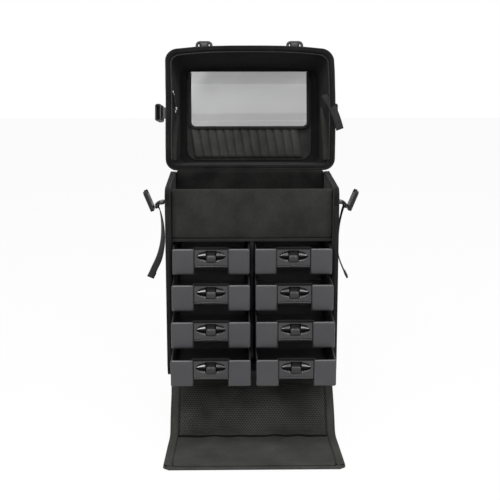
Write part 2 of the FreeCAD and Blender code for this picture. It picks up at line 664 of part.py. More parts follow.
def clear_pocket():
    """Clear window hung from its top edge over the brush slots, with a bound border on three sides."""
    level = f"{CEILING} - brush_panel_thick - window_lift"
    half = "window_width / 2"
    near_edge = "-(window_end - window_length)"
    far_edge = "-window_end"
    window = keep(open_lid(new_body("clear_window")))
    pad(window, "XY_Plane", [rectangle(f"-{half}", half, far_edge, near_edge)], "window_thick", lift=level)
    round_edges(window, "window_corner", lambda edge: runs_along(edge, "z")
                and near(edge, "y", value(near_edge)))

    binding = keep(open_lid(new_body("window_binding")))
    outer = f"({half} + binding_width - 2)"
    inner = f"({half} + binding_gap)"
    low = f"{near_edge} + binding_gap"
    frame = [(f"-{outer}", far_edge), (f"-{inner}", far_edge), (f"-{inner}", low), (inner, low),
             (inner, far_edge), (outer, far_edge), (outer, f"{low} + binding_width - 2"),
             (f"-{outer}", f"{low} + binding_width - 2")]
    pad(binding, "XY_Plane", [frame], "binding_thick", lift=f"{level} - (binding_thick - window_thick) / 2")


def buckle_socket(name):
    """Hollow half of a side-release buckle: an open mouth below and a window on each side."""
    socket = doc.addObject("PartDesign::Body", name)
    half = "buckle_width / 2"
    thick = "buckle_thick"
    pad(socket, "XY_Plane", [rectangle(f"-{half}", half, "0", thick)], "buckle_length")
    bevel_edges(socket, "buckle_skin", lambda edge: runs_along(edge, "z"))
    inner = f"{thick} - buckle_skin"
    mouth = rectangle(f"-{half} + buckle_skin", f"{half} - buckle_skin", "buckle_skin", inner)
    pocket(socket, "XY_Plane", [mouth], "buckle_length - buckle_skin", reverse=True)
    windows = rectangle("buckle_skin", inner, "buckle_window", "buckle_length - buckle_window")
    pocket(socket, "YZ_Plane", [windows], "2 * buckle_width", symmetric=True)
    return socket


def opened_lid():
    """Where the lid's own frame lies with the lid open."""
    return Placement(Vector(0, value("hinge_y"), value("hinge_height")),
                     Rotation(Vector(-1, 0, 0), value("lid_open")))


def lid_flare():
    """How far the lid's side walls lean out, as an angle in radians."""
    return math.atan2(value("lid_rim_width - shoulder_width") / 2, value("lid_height - lid_bevel"))


def lid_buckles():
    lean = math.atan2(value("lid_rim_depth - shoulder_front"), value("lid_height - lid_bevel"))
    opened = opened_lid()
    rise = value("buckle_rise")
    gap = value("buckle_gap")
    front = []
    for name, side in (("left", -1), ("right", 1)):
        socket = buckle_socket(f"{name}_front_socket")
        foot = Vector(side * value("front_buckle_x"),
                      -value("lid_rim_depth") + rise * math.tan(lean) - gap, rise)
        upright = Rotation(Vector(0, 0, 1), 180)
        tilt = Rotation(Vector(1, 0, 0), -math.degrees(lean))
        socket.Placement = opened * Placement(foot, tilt * upright)
        front.append(socket)
    group("lid_front_buckles", front)

    sides = []
    wall = value("lid_rim_width") / 2 - rise * math.tan(lid_flare())
    for name, side, stand_off in (("left", -1, value("buckle_stand_off")), ("right", 1, gap)):
        socket = buckle_socket(f"{name}_side_socket")
        foot = Vector(side * (wall + stand_off), -value("side_buckle_reach"), rise)
        quarter = Rotation(Vector(0, 0, 1), -90 * side)
        tilt = Rotation(Vector(0, 1, 0), -side * math.degrees(lid_flare()))
        socket.Placement = opened * Placement(foot, tilt * quarter)
        sides.append(socket)
    keeper = box("side_socket_keeper", ("keeper_length", "strap_width", "strap_thick"))
    keeper_corner = Vector(-wall - value("keeper_length - keeper_inset"),
                           -value("side_buckle_reach + strap_width / 2"), value("keeper_rise"))
    keeper.Placement = opened * Placement(keeper_corner, Rotation())
    sides.append(keeper)
    group("lid_side_buckles", sides)


def carry_handle():
    """Padded webbing grip on the outside of the lid's top."""
    handle = keep(open_lid(new_body("carry_handle")))
    top = "lid_height + seat_gap"
    under = f"{top} + carry_rise"
    over = f"{under} + carry_thick"
    sole = f"{top} + carry_foot_thick"
    heel = "carry_half + carry_foot"
    right_half = [("carry_half - 2 - carry_lean", under), ("carry_half - 2", top), (heel, top), (heel, sole),
                  ("carry_half + 3", sole), ("carry_half + 3 - carry_lean", over)]
    left_half = [(f"-({x})", z) for x, z in reversed(right_half)]
    outline = right_half + left_half
    middle = "lid_back_lean + lid_top_depth / 2"
    pad(handle, "XZ_Plane", [outline], "carry_width", lift=f"{middle} - carry_width / 2")


ZIP_PULL_PLACES = ((150, 8), (132, 16))


def zip_pulls():
    """Two long pull tabs of the lid's zip, hanging inside its left wall."""
    pulls = []
    for number, (reach, depth) in enumerate(ZIP_PULL_PLACES):
        tab = doc.addObject("PartDesign::Body", f"zip_pull_{number}")
        outline = rectangle("-pull_width / 2", "pull_width / 2", "0", "pull_length")
        pad(tab, "YZ_Plane", [outline], "pull_thick")
        bevel_edges(tab, "pull_thick", lambda edge: runs_along(edge, "x"))
        wall = value("lid_rim_width / 2 - lid_skin - pull_width / 2") - depth * math.tan(lid_flare())
        turned = Rotation(Vector(1, 0, 0), 90)
        tab.Placement = opened_lid() * Placement(Vector(-wall, -reach, depth), turned)
        pulls.append(tab)
    group("lid_zip_pulls", pulls)


# Front flap, hanging from its hinge line and lying on the floor

def flap_plan(name, near_half, far_half, low_offset, high_offset):
    """A tapered upright prism that trims a flap piece to its plan."""
    plan = doc.addObject("PartDesign::Body", name)
    outline = [(f"-({near_half})", high_offset), (f"-({far_half})", low_offset), (far_half, low_offset),
               (near_half, high_offset)]
    pad(plan, "XY_Plane", [outline], "flap_hinge_height * 3", lift="-flap_hinge_height")
    return plan


def flap_profile(name, under, over, start, end, width):
    """The bent section of a flap piece between two heights above its underside, drawn out sideways."""
    profile = doc.addObject("PartDesign::Body", name)
    slope = math.atan2(value("flap_hinge_height"), value("flap_hinge_y - flap_fold_y"))
    side = math.sin(slope)
    rise = math.cos(slope)
    corner = math.tan(slope / 2)

    def at_hinge(height):
        return (f"flap_hinge_y - ({height}) * {side:.5f}", f"flap_hinge_height + ({height}) * {rise:.5f}")

    def at_fold(height):
        return (f"flap_fold_y - ({height}) * {corner:.5f}", f"{height} + floor_gap")

    outline = [at_hinge(under) if start == "hinge" else at_fold(under)]
    if start == "hinge" and end == "end":
        outline.append(at_fold(under))
    outline.append(("flap_end_y", f"{under} + floor_gap") if end == "end" else at_fold(under))
    outline.append(("flap_end_y", f"{over} + floor_gap") if end == "end" else at_fold(over))
    if start == "hinge" and end == "end":
        outline.append(at_fold(over))
    outline.append(at_hinge(over) if start == "hinge" else at_fold(over))
    pad(profile, "YZ_Plane", [outline], width, symmetric=True)
    return profile


def trimmed(label, pieces):
    shape = doc.addObject("Part::MultiCommon", label)
    shape.Label = label
    shape.Shapes = pieces
    return shape


def front_flap():
    near_half = "flap_near_width / 2"
    far_half = "flap_far_width / 2"
    panel = trimmed("flap_panel", [
        flap_profile("flap_section", "0", "flap_thick", "hinge", "end", "2 * flap_far_width"),
        flap_plan("flap_outline", near_half, far_half, "flap_end_y", "flap_hinge_y")])
    keep(panel)
    mesh_half = f"{near_half} - flap_strip - 1"
    keep(trimmed("flap_mesh_pocket", [
        flap_profile("mesh_section", "flap_thick + seat_gap", "flap_thick + seat_gap + mesh_thick", "hinge",
                     "fold", "2 * flap_far_width"),
        flap_plan("mesh_outline", mesh_half, f"{mesh_half} + mesh_flare",
                  "flap_fold_y - mesh_margin", "flap_hinge_y - mesh_start")]))
    strips = []
    for name, sign in (("left", -1), ("right", 1)):
        section = flap_profile(f"{name}_strip_section", "flap_thick + seat_gap", "flap_thick + strip_thick",
                               "hinge", "end", "2 * flap_far_width")
        plan = doc.addObject("PartDesign::Body", f"{name}_strip_outline")
        mark = "-" if sign < 0 else ""
        start = "flap_hinge_y - strip_start"
        outline = [(f"{mark}({near_half})", start), (f"{mark}({far_half})", "flap_end_y"),
                   (f"{mark}({far_half} - flap_strip)", "flap_end_y"),
                   (f"{mark}({near_half} - flap_strip)", start)]
        pad(plan, "XY_Plane", [outline], "flap_hinge_height * 3", lift="-flap_hinge_height")
        strips.append(trimmed(f"{name}_flap_strip", [section, plan]))
    group("flap_side_strips", strips)


# Side straps

def side_strap(side, sign):
    """Webbing sewn to the side wall, with a long tail that hangs down and kicks out."""
    strap = keep(new_body(f"{side}_strap", ("0", "-strap_width / 2", "0")))
    mark = "-" if sign < 0 else ""
    wall = "(case_width / 2 + strap_gap)"
    bend = f"({wall} + strap_reach * 0.55)"
    tail = f"({wall} + strap_reach * 0.6 + strap_kick)"
    low = "(strap_height - strap_drop)"
    knee = "(strap_height - strap_drop * 0.55)"
    outline = [(f"{mark}{wall}", "strap_height"), (f"{mark}{wall}", "strap_height - strap_thick"),
               (f"{mark}({bend} - strap_thick)", "strap_height - strap_thick"),
               (f"{mark}({bend} - strap_thick)", knee), (f"{mark}({tail} - strap_thick)", low),
               (f"{mark}{tail}", low), (f"{mark}{bend}", f"{knee} + strap_thick"),
               (f"{mark}{bend}", "strap_height - 2 * strap_thick"),
               (f"{mark}({wall} + strap_reach)", "strap_height - strap_thick"),
               (f"{mark}({wall} + strap_reach)", "strap_height")]
    pad(strap, "XZ_Plane", [outline], "strap_width", reverse=True)

    plug = keep(new_body(f"{side}_strap_buckle"))
    half = "plug_width / 2"
    neck = "plug_length * 0.4"
    guide = "plug_length * 0.85"
    right_half = [(half, "0"), (half, "plug_length * 0.9"), (f"{half} - prong_width", "plug_length"),
                  (f"{half} - prong_width", neck), ("guide_half", neck), ("guide_half", guide)]
    left_half = [(f"-({y})", z) for y, z in reversed(right_half)]
    outline = right_half + left_half
    pad(plug, "YZ_Plane", [outline], "plug_thick", symmetric=True)
    pocket(plug, "YZ_Plane", [rectangle("-strap_width / 2 - 0.5", "strap_width / 2 + 0.5", "plug_slot_low",
                                        "plug_slot_high")],
           "2 * plug_thick", symmetric=True)
    round_edges(plug, "plug_round", lambda edge: near(edge, "z", 0) and runs_along(edge, "y"))
    foot = Vector(sign * value(f"{wall} + strap_reach + plug_gap"), 0, value("strap_height - plug_drop"))
    plug.Placement = Placement(foot, Rotation(Vector(0, 1, 0), sign * value("plug_tilt")))


# Build everything, check it, and write one file per sub-part

padded_body()
drawer_rack()
drawers()
base_tray()
feet_and_axles()
wheel("left_wheel", "-")
wheel("right_wheel", "")
pull_handle()
lid_shell()
brush_holder()
clear_pocket()
lid_buckles()
carry_handle()
zip_pulls()
front_flap()
side_strap("left", -1)
side_strap("right", 1)
doc.recompute()

for thing in doc.Objects:
    if "Invalid" in thing.State or "Error" in thing.State:
        raise RuntimeError(f"{thing.Label} did not build: {thing.State}")
for part in subparts:
    if part.Shape.isNull() or not part.Shape.isValid() or not part.Shape.Solids:
        raise RuntimeError(f"{part.Label} has no valid shape")

os.makedirs("parts", exist_ok=True)
for part in subparts:
    part.Shape.exportStep(f"parts/{part.Label}.step")
print(f"{len(subparts)} sub-parts written")
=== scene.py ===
import json
import math
import bmesh
import bpy
from mathutils import Matrix, Vector, noise


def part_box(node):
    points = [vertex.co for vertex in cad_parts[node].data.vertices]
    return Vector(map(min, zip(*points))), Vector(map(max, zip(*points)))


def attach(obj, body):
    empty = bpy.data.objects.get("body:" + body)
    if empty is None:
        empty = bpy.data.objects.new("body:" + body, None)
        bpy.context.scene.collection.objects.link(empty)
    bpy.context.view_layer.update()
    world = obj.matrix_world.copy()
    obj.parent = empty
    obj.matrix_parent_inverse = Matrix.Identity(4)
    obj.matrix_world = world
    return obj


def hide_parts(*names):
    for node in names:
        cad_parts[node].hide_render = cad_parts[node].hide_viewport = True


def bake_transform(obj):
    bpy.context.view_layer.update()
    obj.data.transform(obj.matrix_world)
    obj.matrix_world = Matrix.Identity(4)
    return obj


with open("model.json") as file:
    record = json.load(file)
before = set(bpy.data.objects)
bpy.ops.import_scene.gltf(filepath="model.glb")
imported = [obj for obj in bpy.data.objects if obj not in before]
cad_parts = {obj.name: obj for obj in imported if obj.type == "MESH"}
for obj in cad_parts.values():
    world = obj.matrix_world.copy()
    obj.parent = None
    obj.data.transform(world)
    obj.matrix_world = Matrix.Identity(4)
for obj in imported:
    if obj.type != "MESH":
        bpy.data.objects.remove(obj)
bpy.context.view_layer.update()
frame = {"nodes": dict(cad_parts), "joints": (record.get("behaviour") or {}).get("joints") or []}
nodes = frame["nodes"]
joints = {joint["name"]: joint for joint in frame["joints"]}
scene = bpy.context.scene
scene.view_settings.view_transform = "Standard"

SIDES = (("left", -1), ("right", 1))
RIGHT = Vector((1, 0, 0))
FORWARD = Vector((0, -1, 0))
UP = Vector((0, 0, 1))
QUARTER = math.pi / 2


# Materials

def add(tree, kind, **settings):
    node = tree.nodes.new(kind)
    for key, value in settings.items():
        setattr(node, key, value)
    return node


def plug(tree, value, socket):
    """Set a socket to a number or colour, or link it to another node's output."""
    if isinstance(value, bpy.types.NodeSocket):
        tree.links.new(value, socket)
    else:
        socket.default_value = value


def new_material(name, roughness, **constants):
    """A material with its node tree and its shader, whose inputs take the constants."""
    material = bpy.data.materials.new(name)
    material.use_nodes = True
    tree = material.node_tree
    shader = tree.nodes["Principled BSDF"]
    shader.inputs["Roughness"].default_value = roughness
    for key, value in constants.items():
        shader.inputs[key.replace("_", " ")].default_value = value
    return material, tree, shader


def object_place(tree, turn=(0, 0, 0)):
    """Object coordinates, turned so that patterns don't line up with the walls."""
    coords = add(tree, "ShaderNodeTexCoord")
    turned = add(tree, "ShaderNodeMapping")
    turned.inputs["Rotation"].default_value = turn
    plug(tree, coords.outputs["Object"], turned.inputs["Vector"])
    return turned.outputs["Vector"]


def noise_value(tree, scale, detail=4.0):
    texture = add(tree, "ShaderNodeTexNoise")
    texture.inputs["Scale"].default_value = scale
    texture.inputs["Detail"].default_value = detail
    texture.inputs["Roughness"].default_value = 0.55
    plug(tree, object_place(tree), texture.inputs["Vector"])
    return texture.outputs["Fac"]


def bands(tree, period, turn):
    """Smooth ribs of a given period along one turned direction."""
    wave = add(tree, "ShaderNodeTexWave", wave_type="BANDS", bands_direction="X")
    wave.inputs["Scale"].default_value = math.pi / 10 / period
    plug(tree, object_place(tree, turn), wave.inputs["Vector"])
    return wave.outputs["Fac"]


def math_of(tree, operation, first, second=0.5):
    node = add(tree, "ShaderNodeMath", operation=operation)
    plug(tree, first, node.inputs[0])
    plug(tree, second, node.inputs[1])
    return node.outputs[0]


def weighted(tree, *terms):
    """The sum of several values, each times its weight."""
    total = 0.0
    for value, weight in terms:
        total = math_of(tree, "ADD", math_of(tree, "MULTIPLY", value, weight), total)
    return total


def remap(tree, value, low, high):
    node = add(tree, "ShaderNodeMapRange")
    plug(tree, value, node.inputs["Value"])
    node.inputs["To Min"].default_value = low
    node.inputs["To Max"].default_value = high
    return node.outputs["Result"]


def tint(tree, shader, value, dark, light, low=0.35, high=0.7):
    """Colour a shader from dark to light as a value rises."""
    ramp = add(tree, "ShaderNodeValToRGB")
    for element, position, colour in zip(ramp.color_ramp.elements, (low, high), (dark, light)):
        element.position = position
        element.color = (*colour, 1)
    plug(tree, value, ramp.inputs["Fac"])
    plug(tree, ramp.outputs["Color"], shader.inputs["Base Color"])


def vary_gloss(tree, shader, value, low, high):
    plug(tree, remap(tree, value, low, high), shader.inputs["Roughness"])


def bump(tree, shader, height, strength, distance):
    node = add(tree, "ShaderNodeBump")
    node.inputs["Strength"].default_value = strength
    node.inputs["Distance"].default_value = distance
    plug(tree, height, node.inputs["Height"])
    plug(tree, node.outputs["Normal"], shader.inputs["Normal"])


def cloth(name, dark, light, thread, roughness=0.85, depth=0.0005, crease=18.0):
    """Woven fabric: crossing threads, slow creases and patchy wear."""
    material, tree, shader = new_material(name, roughness, Sheen_Weight=0.04, Sheen_Roughness=0.45,
                                          Specular_IOR_Level=0.08)
    warp = bands(tree, thread, (0, 0, math.radians(45)))
    weft = bands(tree, thread, (0, math.radians(-60), math.radians(-45)))
    weave = math_of(tree, "MULTIPLY", math_of(tree, "SUBTRACT", warp), math_of(tree, "SUBTRACT", weft))
    creases = noise_value(tree, crease)
    patches = noise_value(tree, 160.0, 3.0)
    tint(tree, shader, weighted(tree, (creases, 0.7), (patches, 0.3), (weave, 0.35)), dark, light)
    vary_gloss(tree, shader, patches, roughness - 0.08, min(1.0, roughness + 0.1))
    bump(tree, shader, weighted(tree, (weave, 0.5), (creases, 1.6)), 0.5, depth)
    return material


def plastic(name, dark, light, roughness, depth=0.00008, coat=0.0, gloss=0.5):
    """Moulded plastic: a fine grain, flow marks and slightly uneven gloss."""
    material, tree, shader = new_material(name, roughness, Coat_Weight=coat, Coat_Roughness=0.12,
                                          Specular_IOR_Level=gloss)
    flow = noise_value(tree, 14.0, 3.0)
    tint(tree, shader, flow, dark, light, 0.3, 0.75)
    vary_gloss(tree, shader, flow, roughness * 0.8, roughness * 1.25)
    bump(tree, shader, noise_value(tree, 900.0, 2.0), 0.25, depth)
    return material


def metal(name, dark, light, roughness, scratch):
    """Brushed metal with fine scratches."""
    material, tree, shader = new_material(name, roughness, Metallic=1.0)
    lines = noise_value(tree, scratch, 5.0)
    tint(tree, shader, lines, dark, light)
    vary_gloss(tree, shader, lines, roughness * 0.7, roughness * 1.4)
    bump(tree, shader, lines, 0.15, 0.00005)
    return material


# Heights up the clear film, as shares, and the grey at each; the lighter peak near 0.2 is a painted glint
# line
FILM_GREYS = ((0.0, 0.27), (0.19, 0.27), (0.205, 0.33), (0.22, 0.27), (0.33, 0.28), (0.36, 0.35),
              (0.85, 0.43), (0.885, 0.335), (1.0, 0.29))


def clear_vinyl(name):
    """Hazy clear film, pale in its middle and darker along its foot and top edge, with a painted glint line
    near its foot and slow ripples.
    """
    material, tree, shader = new_material(name, 0.22, Alpha=0.88, Coat_Weight=0.4, Coat_Roughness=0.08)
    level = add(tree, "ShaderNodeSeparateXYZ")
    plug(tree, object_place(tree), level.inputs["Vector"])
    low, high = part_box("clear_window")
    height = add(tree, "ShaderNodeMapRange")
    plug(tree, level.outputs["Z"], height.inputs["Value"])
    height.inputs["From Min"].default_value = low.z
    height.inputs["From Max"].default_value = high.z
    drift = noise_value(tree, 7.0, 3.0)
    haze = noise_value(tree, 500.0, 2.0)
    ramp = add(tree, "ShaderNodeValToRGB")
    while len(ramp.color_ramp.elements) < len(FILM_GREYS):
        ramp.color_ramp.elements.new(0.5)
    for element, (position, grey) in zip(ramp.color_ramp.elements, FILM_GREYS):
        element.position = position
        element.color = (grey, grey, grey * 1.01, 1)
    tone = weighted(tree, (height.outputs["Result"], 1.0), (drift, 0.12), (haze, 0.05))
    plug(tree, tone, ramp.inputs["Fac"])
    plug(tree, ramp.outputs["Color"], shader.inputs["Base Color"])
    bump(tree, shader, drift, 0.4, 0.004)
    return material


def net_cloth(name):
    """Fine elastic net over a dark ground, pulled into slow bands of light and shade."""
    material, tree, shader = new_material(name, 0.7, Sheen_Weight=0.02, Specular_IOR_Level=0.05)
    slant, other = (bands(tree, 0.0027, (0, 0, math.radians(turn))) for turn in (33, -33))
    threads = math_of(tree, "MULTIPLY", slant, other)
    pull = noise_value(tree, 16.0, 2.0)
    tone = math_of(tree, "MULTIPLY", threads, math_of(tree, "MULTIPLY", pull, 2.2))
    tint(tree, shader, tone, (0.012, 0.012, 0.0117), (0.105, 0.105, 0.1), 0.1, 1.0)
    bump(tree, shader, threads, 0.5, 0.0008)
    return material


def ribbed_webbing(name):
    """Strap webbing with ribs across it."""
    material, tree, shader = new_material(name, 0.7, Sheen_Weight=0.03, Specular_IOR_Level=0.12)
    ribs = bands(tree, 0.0022, (0, math.radians(-80), math.radians(20)))
    wear = noise_value(tree, 120.0, 3.0)
    tint(tree, shader, weighted(tree, (ribs, 0.5), (wear, 0.5)), (0.006, 0.006, 0.006), (0.028, 0.028, 0.029))
    bump(tree, shader, ribs, 0.5, 0.0006)
    return material


def rubber(name):
    """Dusty black rubber."""
    material, tree, shader = new_material(name, 0.75)
    dust = noise_value(tree, 90.0, 5.0)
    tint(tree, shader, dust, (0.012, 0.012, 0.012), (0.035, 0.034, 0.033))
    bump(tree, shader, noise_value(tree, 700.0, 2.0), 0.4, 0.0002)
    return material


outer_cloth = cloth("outer_cloth", (0.003, 0.003, 0.003), (0.013, 0.013, 0.0125), 0.0013, depth=0.0008)
panel_cloth = cloth("panel_cloth", (0.014, 0.014, 0.0132), (0.029, 0.029, 0.0275), 0.0011)
flap_cloth = cloth("flap_cloth", (0.028, 0.028, 0.0265), (0.052, 0.052, 0.049), 0.0012, crease=14.0)
lining_cloth = cloth("lining_cloth", (0.0025, 0.0025, 0.0025), (0.007, 0.007, 0.007), 0.0008, roughness=0.8)
pleat_cloth = cloth("pleat_cloth", (0.022, 0.022, 0.021), (0.045, 0.045, 0.043), 0.0009, roughness=0.7)
holder_cloth = cloth("holder_cloth", (0.012, 0.012, 0.0115), (0.027, 0.027, 0.026), 0.0009, roughness=0.7)
binding_cloth = cloth("binding_cloth", (0.005, 0.005, 0.005), (0.015, 0.015, 0.0145), 0.0009, roughness=0.6)
webbing = ribbed_webbing("webbing")
net = net_cloth("net")
vinyl = clear_vinyl("clear_vinyl")
drawer_plastic = plastic("drawer_plastic", (0.024, 0.0235, 0.026), (0.032, 0.031, 0.034), 0.3, coat=0.15)
black_plastic = plastic("black_plastic", (0.005, 0.005, 0.005), (0.011, 0.011, 0.011), 0.3, depth=0.0001,
                        gloss=0.3)
plate_plastic = plastic("plate_plastic", (0.014, 0.014, 0.015), (0.021, 0.021, 0.022), 0.26, coat=0.2)
lever_plastic = plastic("lever_plastic", (0.012, 0.012, 0.013), (0.02, 0.02, 0.021), 0.3, gloss=0.35)
latch_gloss = plastic("latch_gloss", (0.006, 0.006, 0.006), (0.011, 0.011, 0.011), 0.08, depth=0.00002,
                      coat=1.0, gloss=0.9)
# Near-black paint that stands for shade: on the latch slot, the recess's lower half, the plate's top strip,
# sides and back, and the rocker's half sunk above its pivot
painted_shade_black = plastic("painted_shade_black", (0.002, 0.002, 0.002), (0.005, 0.005, 0.005), 0.5, gloss=0.1)
rack_plastic = plastic("rack_plastic", (0.005, 0.005, 0.005), (0.011, 0.011, 0.011), 0.45, gloss=0.25)
tyre_rubber = rubber("tyre_rubber")
tube_metal = metal("tube_metal", (0.32, 0.32, 0.33), (0.48, 0.48, 0.5), 0.3, 220.0)
bright_metal = metal("bright_metal", (0.3, 0.3, 0.31), (0.5, 0.5, 0.5), 0.25, 300.0)
thread_cloth = cloth("thread", (0.020, 0.020, 0.020), (0.05, 0.05, 0.048), 0.0006, roughness=0.6)


# Mesh building

def piece(name, verts, faces, materials, body, slot, stands_for=(), face_slots=None, place=None, smooth=True):
    """A new object in the shared frame that rides on a body."""
    mesh = bpy.data.meshes.new(name)
    mesh.from_pydata([tuple(vert) for vert in verts], [], faces)
    for material in materials:
        mesh.materials.append(material)
    if face_slots:
        mesh.polygons.foreach_set("material_index", face_slots)
    if place is not None:
        mesh.transform(place)
    shell = bmesh.new()
    shell.from_mesh(mesh)
    bmesh.ops.recalc_face_normals(shell, faces=shell.faces)
    shell.to_mesh(mesh)
    shell.free()
    if smooth:
        mesh.shade_smooth()
    obj = bpy.data.objects.new(name, mesh)
    scene.collection.objects.link(obj)
    if body:
        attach(obj, body)
    if stands_for:
        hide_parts(*stands_for)
    return obj


def thicken(obj, thick, offset=-1):
    """Give a sheet its cloth's thickness."""
    layer = obj.modifiers.new("cloth", "SOLIDIFY")
    layer.thickness = thick
    layer.offset = offset


def skin(loops, closed=True, cap_start=False, cap_end=False):
    """Faces between loops of equal length, in order."""
    count = len(loops[0])
    verts = [vert for loop in loops for vert in loop]
    faces = []
    for row in range(len(loops) - 1):
        for column in range(count if closed else count - 1):
            right = (column + 1) % count
            faces.append((row * count + column, row * count + right, (row + 1) * count + right,
                          (row + 1) * count + column))
    if cap_start:
        faces.append(tuple(reversed(range(count))))
    if cap_end:
        last = (len(loops) - 1) * count
        faces.append(tuple(range(last, last + count)))
    return verts, faces


def grid_rim(rows, columns):
    """Vertex numbers round the edge of a grid of faces, in order."""
    width = columns + 1
    return (list(range(width)) + [row * width + columns for row in range(1, rows + 1)]
            + [rows * width + column for column in range(columns - 1, -1, -1)]
            + [row * width for row in range(rows - 1, 0, -1)])


def rounded_loop(half_width, low, high, corner, arc_steps=6, side_steps=8):
    """Points round a rectangle with round corners, counter-clockwise from the right side's foot."""
    centres = [(half_width - corner, low + corner, -90), (half_width - corner, high - corner, 0),
               (-half_width + corner, high - corner, 90), (-half_width + corner, low + corner, 180)]
    arcs = []
    for x, y, start in centres:
        arc = []
        for step in range(arc_steps + 1):
            turn = math.radians(start + 90 * step / arc_steps)
            arc.append(Vector((x + corner * math.cos(turn), y + corner * math.sin(turn))))
        arcs.append(arc)
    points = []
    for index, arc in enumerate(arcs):
        points += arc
        following = arcs[(index + 1) % 4][0]
        for step in range(1, side_steps):
            points.append(arc[-1].lerp(following, step / side_steps))
    return points


def round_off(radius, reach):
    """How far a round edge has turned away at a reach along it."""
    return radius - math.sqrt(max(0.0, radius ** 2 - reach ** 2))


def ripple(place, size, amount):
    """A small, repeatable soft unevenness at a point."""
    return amount * noise.noise(Vector(place) / size)


def smooth_path(points, steps=8):
    """Points along a smooth curve through the given ones."""
    ends = [points[0] * 2 - points[1]] + list(points) + [points[-1] * 2 - points[-2]]
    path = []
    for index in range(1, len(ends) - 2):
        a, b, c, d = ends[index - 1:index + 3]
        for step in range(steps):
            t = step / steps
            path.append(0.5 * ((2 * b) + (c - a) * t + (2 * a - 5 * b + 4 * c - d) * t * t
                               + (3 * b - a - 3 * c + d) * t ** 3))
    path.append(points[-1])
    return path


def tube(points, radius, sides=8, closed=False):
    """Rings round a path of points."""
    count = len(points)
    rings = []
    previous_side = None
    for index, point in enumerate(points):
        before = points[index - 1] if (index > 0 or closed) else point
        after = points[(index + 1) % count] if (index < count - 1 or closed) else point
        along = (after - before).normalized()
        side = previous_side or along.orthogonal()
        side = (side - along * side.dot(along)).normalized()
        previous_side = side
        other = along.cross(side)
        rings.append([point + radius * (side * math.cos(turn) + other * math.sin(turn))
                      for turn in (2 * math.pi * step / sides for step in range(sides))])
    if closed:
        rings.append(rings[0])
    return skin(rings, True, not closed, not closed)


def joined(parts):
    """Several vert and face lists as one."""
    verts, faces = [], []
    for part_verts, part_faces in parts:
        start = len(verts)
        verts += part_verts
        faces += [tuple(index + start for index in face) for face in part_faces]
    return verts, faces


def moved(shape, place):
    """A vert and face list at another place."""
    verts, faces = shape
    return [place @ vert for vert in verts], faces


def walk(points, pitch, closed=False):
    """Evenly spaced (point, direction) pairs along a path."""
    path = list(points) + ([points[0]] if closed else [])
    spots = []
    carry = pitch / 2
    for begin, finish in zip(path, path[1:]):
        run = (finish - begin).length
        if run < 1e-9:
            continue
        direction = (finish - begin) / run
        while carry < run:
            spots.append((begin + direction * carry, direction))
            carry += pitch
        carry -= run
    return spots


BLOCK_TAPER = 0.75
BLOCK_FACES = [(0, 1, 2, 3), (4, 5, 6, 7), (0, 1, 5, 4), (1, 2, 6, 5), (2, 3, 7, 6), (3, 0, 4, 7)]


def blocks(points, outward, pitch, size, closed=False):
    """A row of small blocks along a path: zip teeth or stitches. Size is along, across and high."""
    parts = []
    for spot, along in walk(points, pitch, closed):
        up = (outward - along * outward.dot(along)).normalized()
        across = along.cross(up)
        corners = []
        for high, taper in ((-1, 1.0), (1, BLOCK_TAPER)):
            for x, y in ((-1, -1), (1, -1), (1, 1), (-1, 1)):
                corners.append(spot + along * size[0] / 2 * x * taper + across * size[1] / 2 * y * taper
                               + up * size[2] / 2 * high)
        parts.append((corners, BLOCK_FACES))
    return joined(parts)


RIBBON_EDGE = 0.35
RIBBON_SECTION = ((-1, 0), (-1, 1), (-0.34, 1), (0.34, 1), (1, 1), (1, 0), (1, -1), (0.34, -1), (-0.34, -1),
                  (-1, -1))


def ribbon(points, across, width, thick, start_share=1.0):
    """A flat strap along a path. Across is one direction or one for each point, start_share the taper."""
    count = len(points)
    directions = [across] * count if isinstance(across, Vector) else across
    edge = thick * RIBBON_EDGE
    loops = []
    for index, point in enumerate(points):
        before = points[max(index - 1, 0)]
        after = points[min(index + 1, count - 1)]
        along = (after - before).normalized()
        side = directions[index].normalized()
        up = along.cross(side).normalized()
        half = width / 2 * min(1.0, start_share + 2 * (1 - start_share) * index / (count - 1))
        loop = []
        for x, y in RIBBON_SECTION:
            inset = edge if abs(x) == 1 and y else 0
            loop.append(point + side * (x * half - math.copysign(inset, x)) + up * y * thick / 2)
        loops.append(loop)
    return skin(loops, True, True, True)


# Cushioned panels

PILLOW_EDGE_SHARES = (0.0, 0.08, 0.3, 0.62, 1.0)
PILLOW_FACE_SHARES = (0.06, 0.16, 0.3, 0.46, 0.64, 0.82, 1.0)
PILLOW_REACH = 0.92
PILLOW_CROWN_RATE = 1.6
PILLOW_LEAST_BEND = 0.003


def pillow(half_width, low, high, corner, thick, swell=0.0, wave=0.0):
    """A soft slab lying in its own XY plane: round edges, a swollen face and slight waves."""
    edge = thick / 2
    narrowest = min(half_width, (high - low) / 2)
    reach = narrowest * PILLOW_REACH
    loops = {1: [], -1: []}
    for side, side_loops in loops.items():
        rows = []
        for share in PILLOW_EDGE_SHARES:
            rows.append((share * edge, edge * math.sqrt(max(0.0, 1 - (1 - share) ** 2))))
        for share in PILLOW_FACE_SHARES:
            crown = swell * math.sin(QUARTER * min(1.0, share * PILLOW_CROWN_RATE))
            rows.append((edge + (reach - edge) * share, edge + (crown if side > 0 else 0.0)))
        for inset, rise in rows[1:] if side < 0 else rows:
            bend = min(max(PILLOW_LEAST_BEND, corner - inset), 0.9 * (narrowest - inset))
            loop = []
            for x, y in rounded_loop(half_width - inset, low + inset, high - inset, bend):
                soft = ripple((x, y, side * 3.0), size=0.06, amount=wave)
                loop.append(Vector((x, y, side * (rise + soft))))
            side_loops.append(loop)
    return skin(loops[1][::-1] + loops[-1], True, True, True)


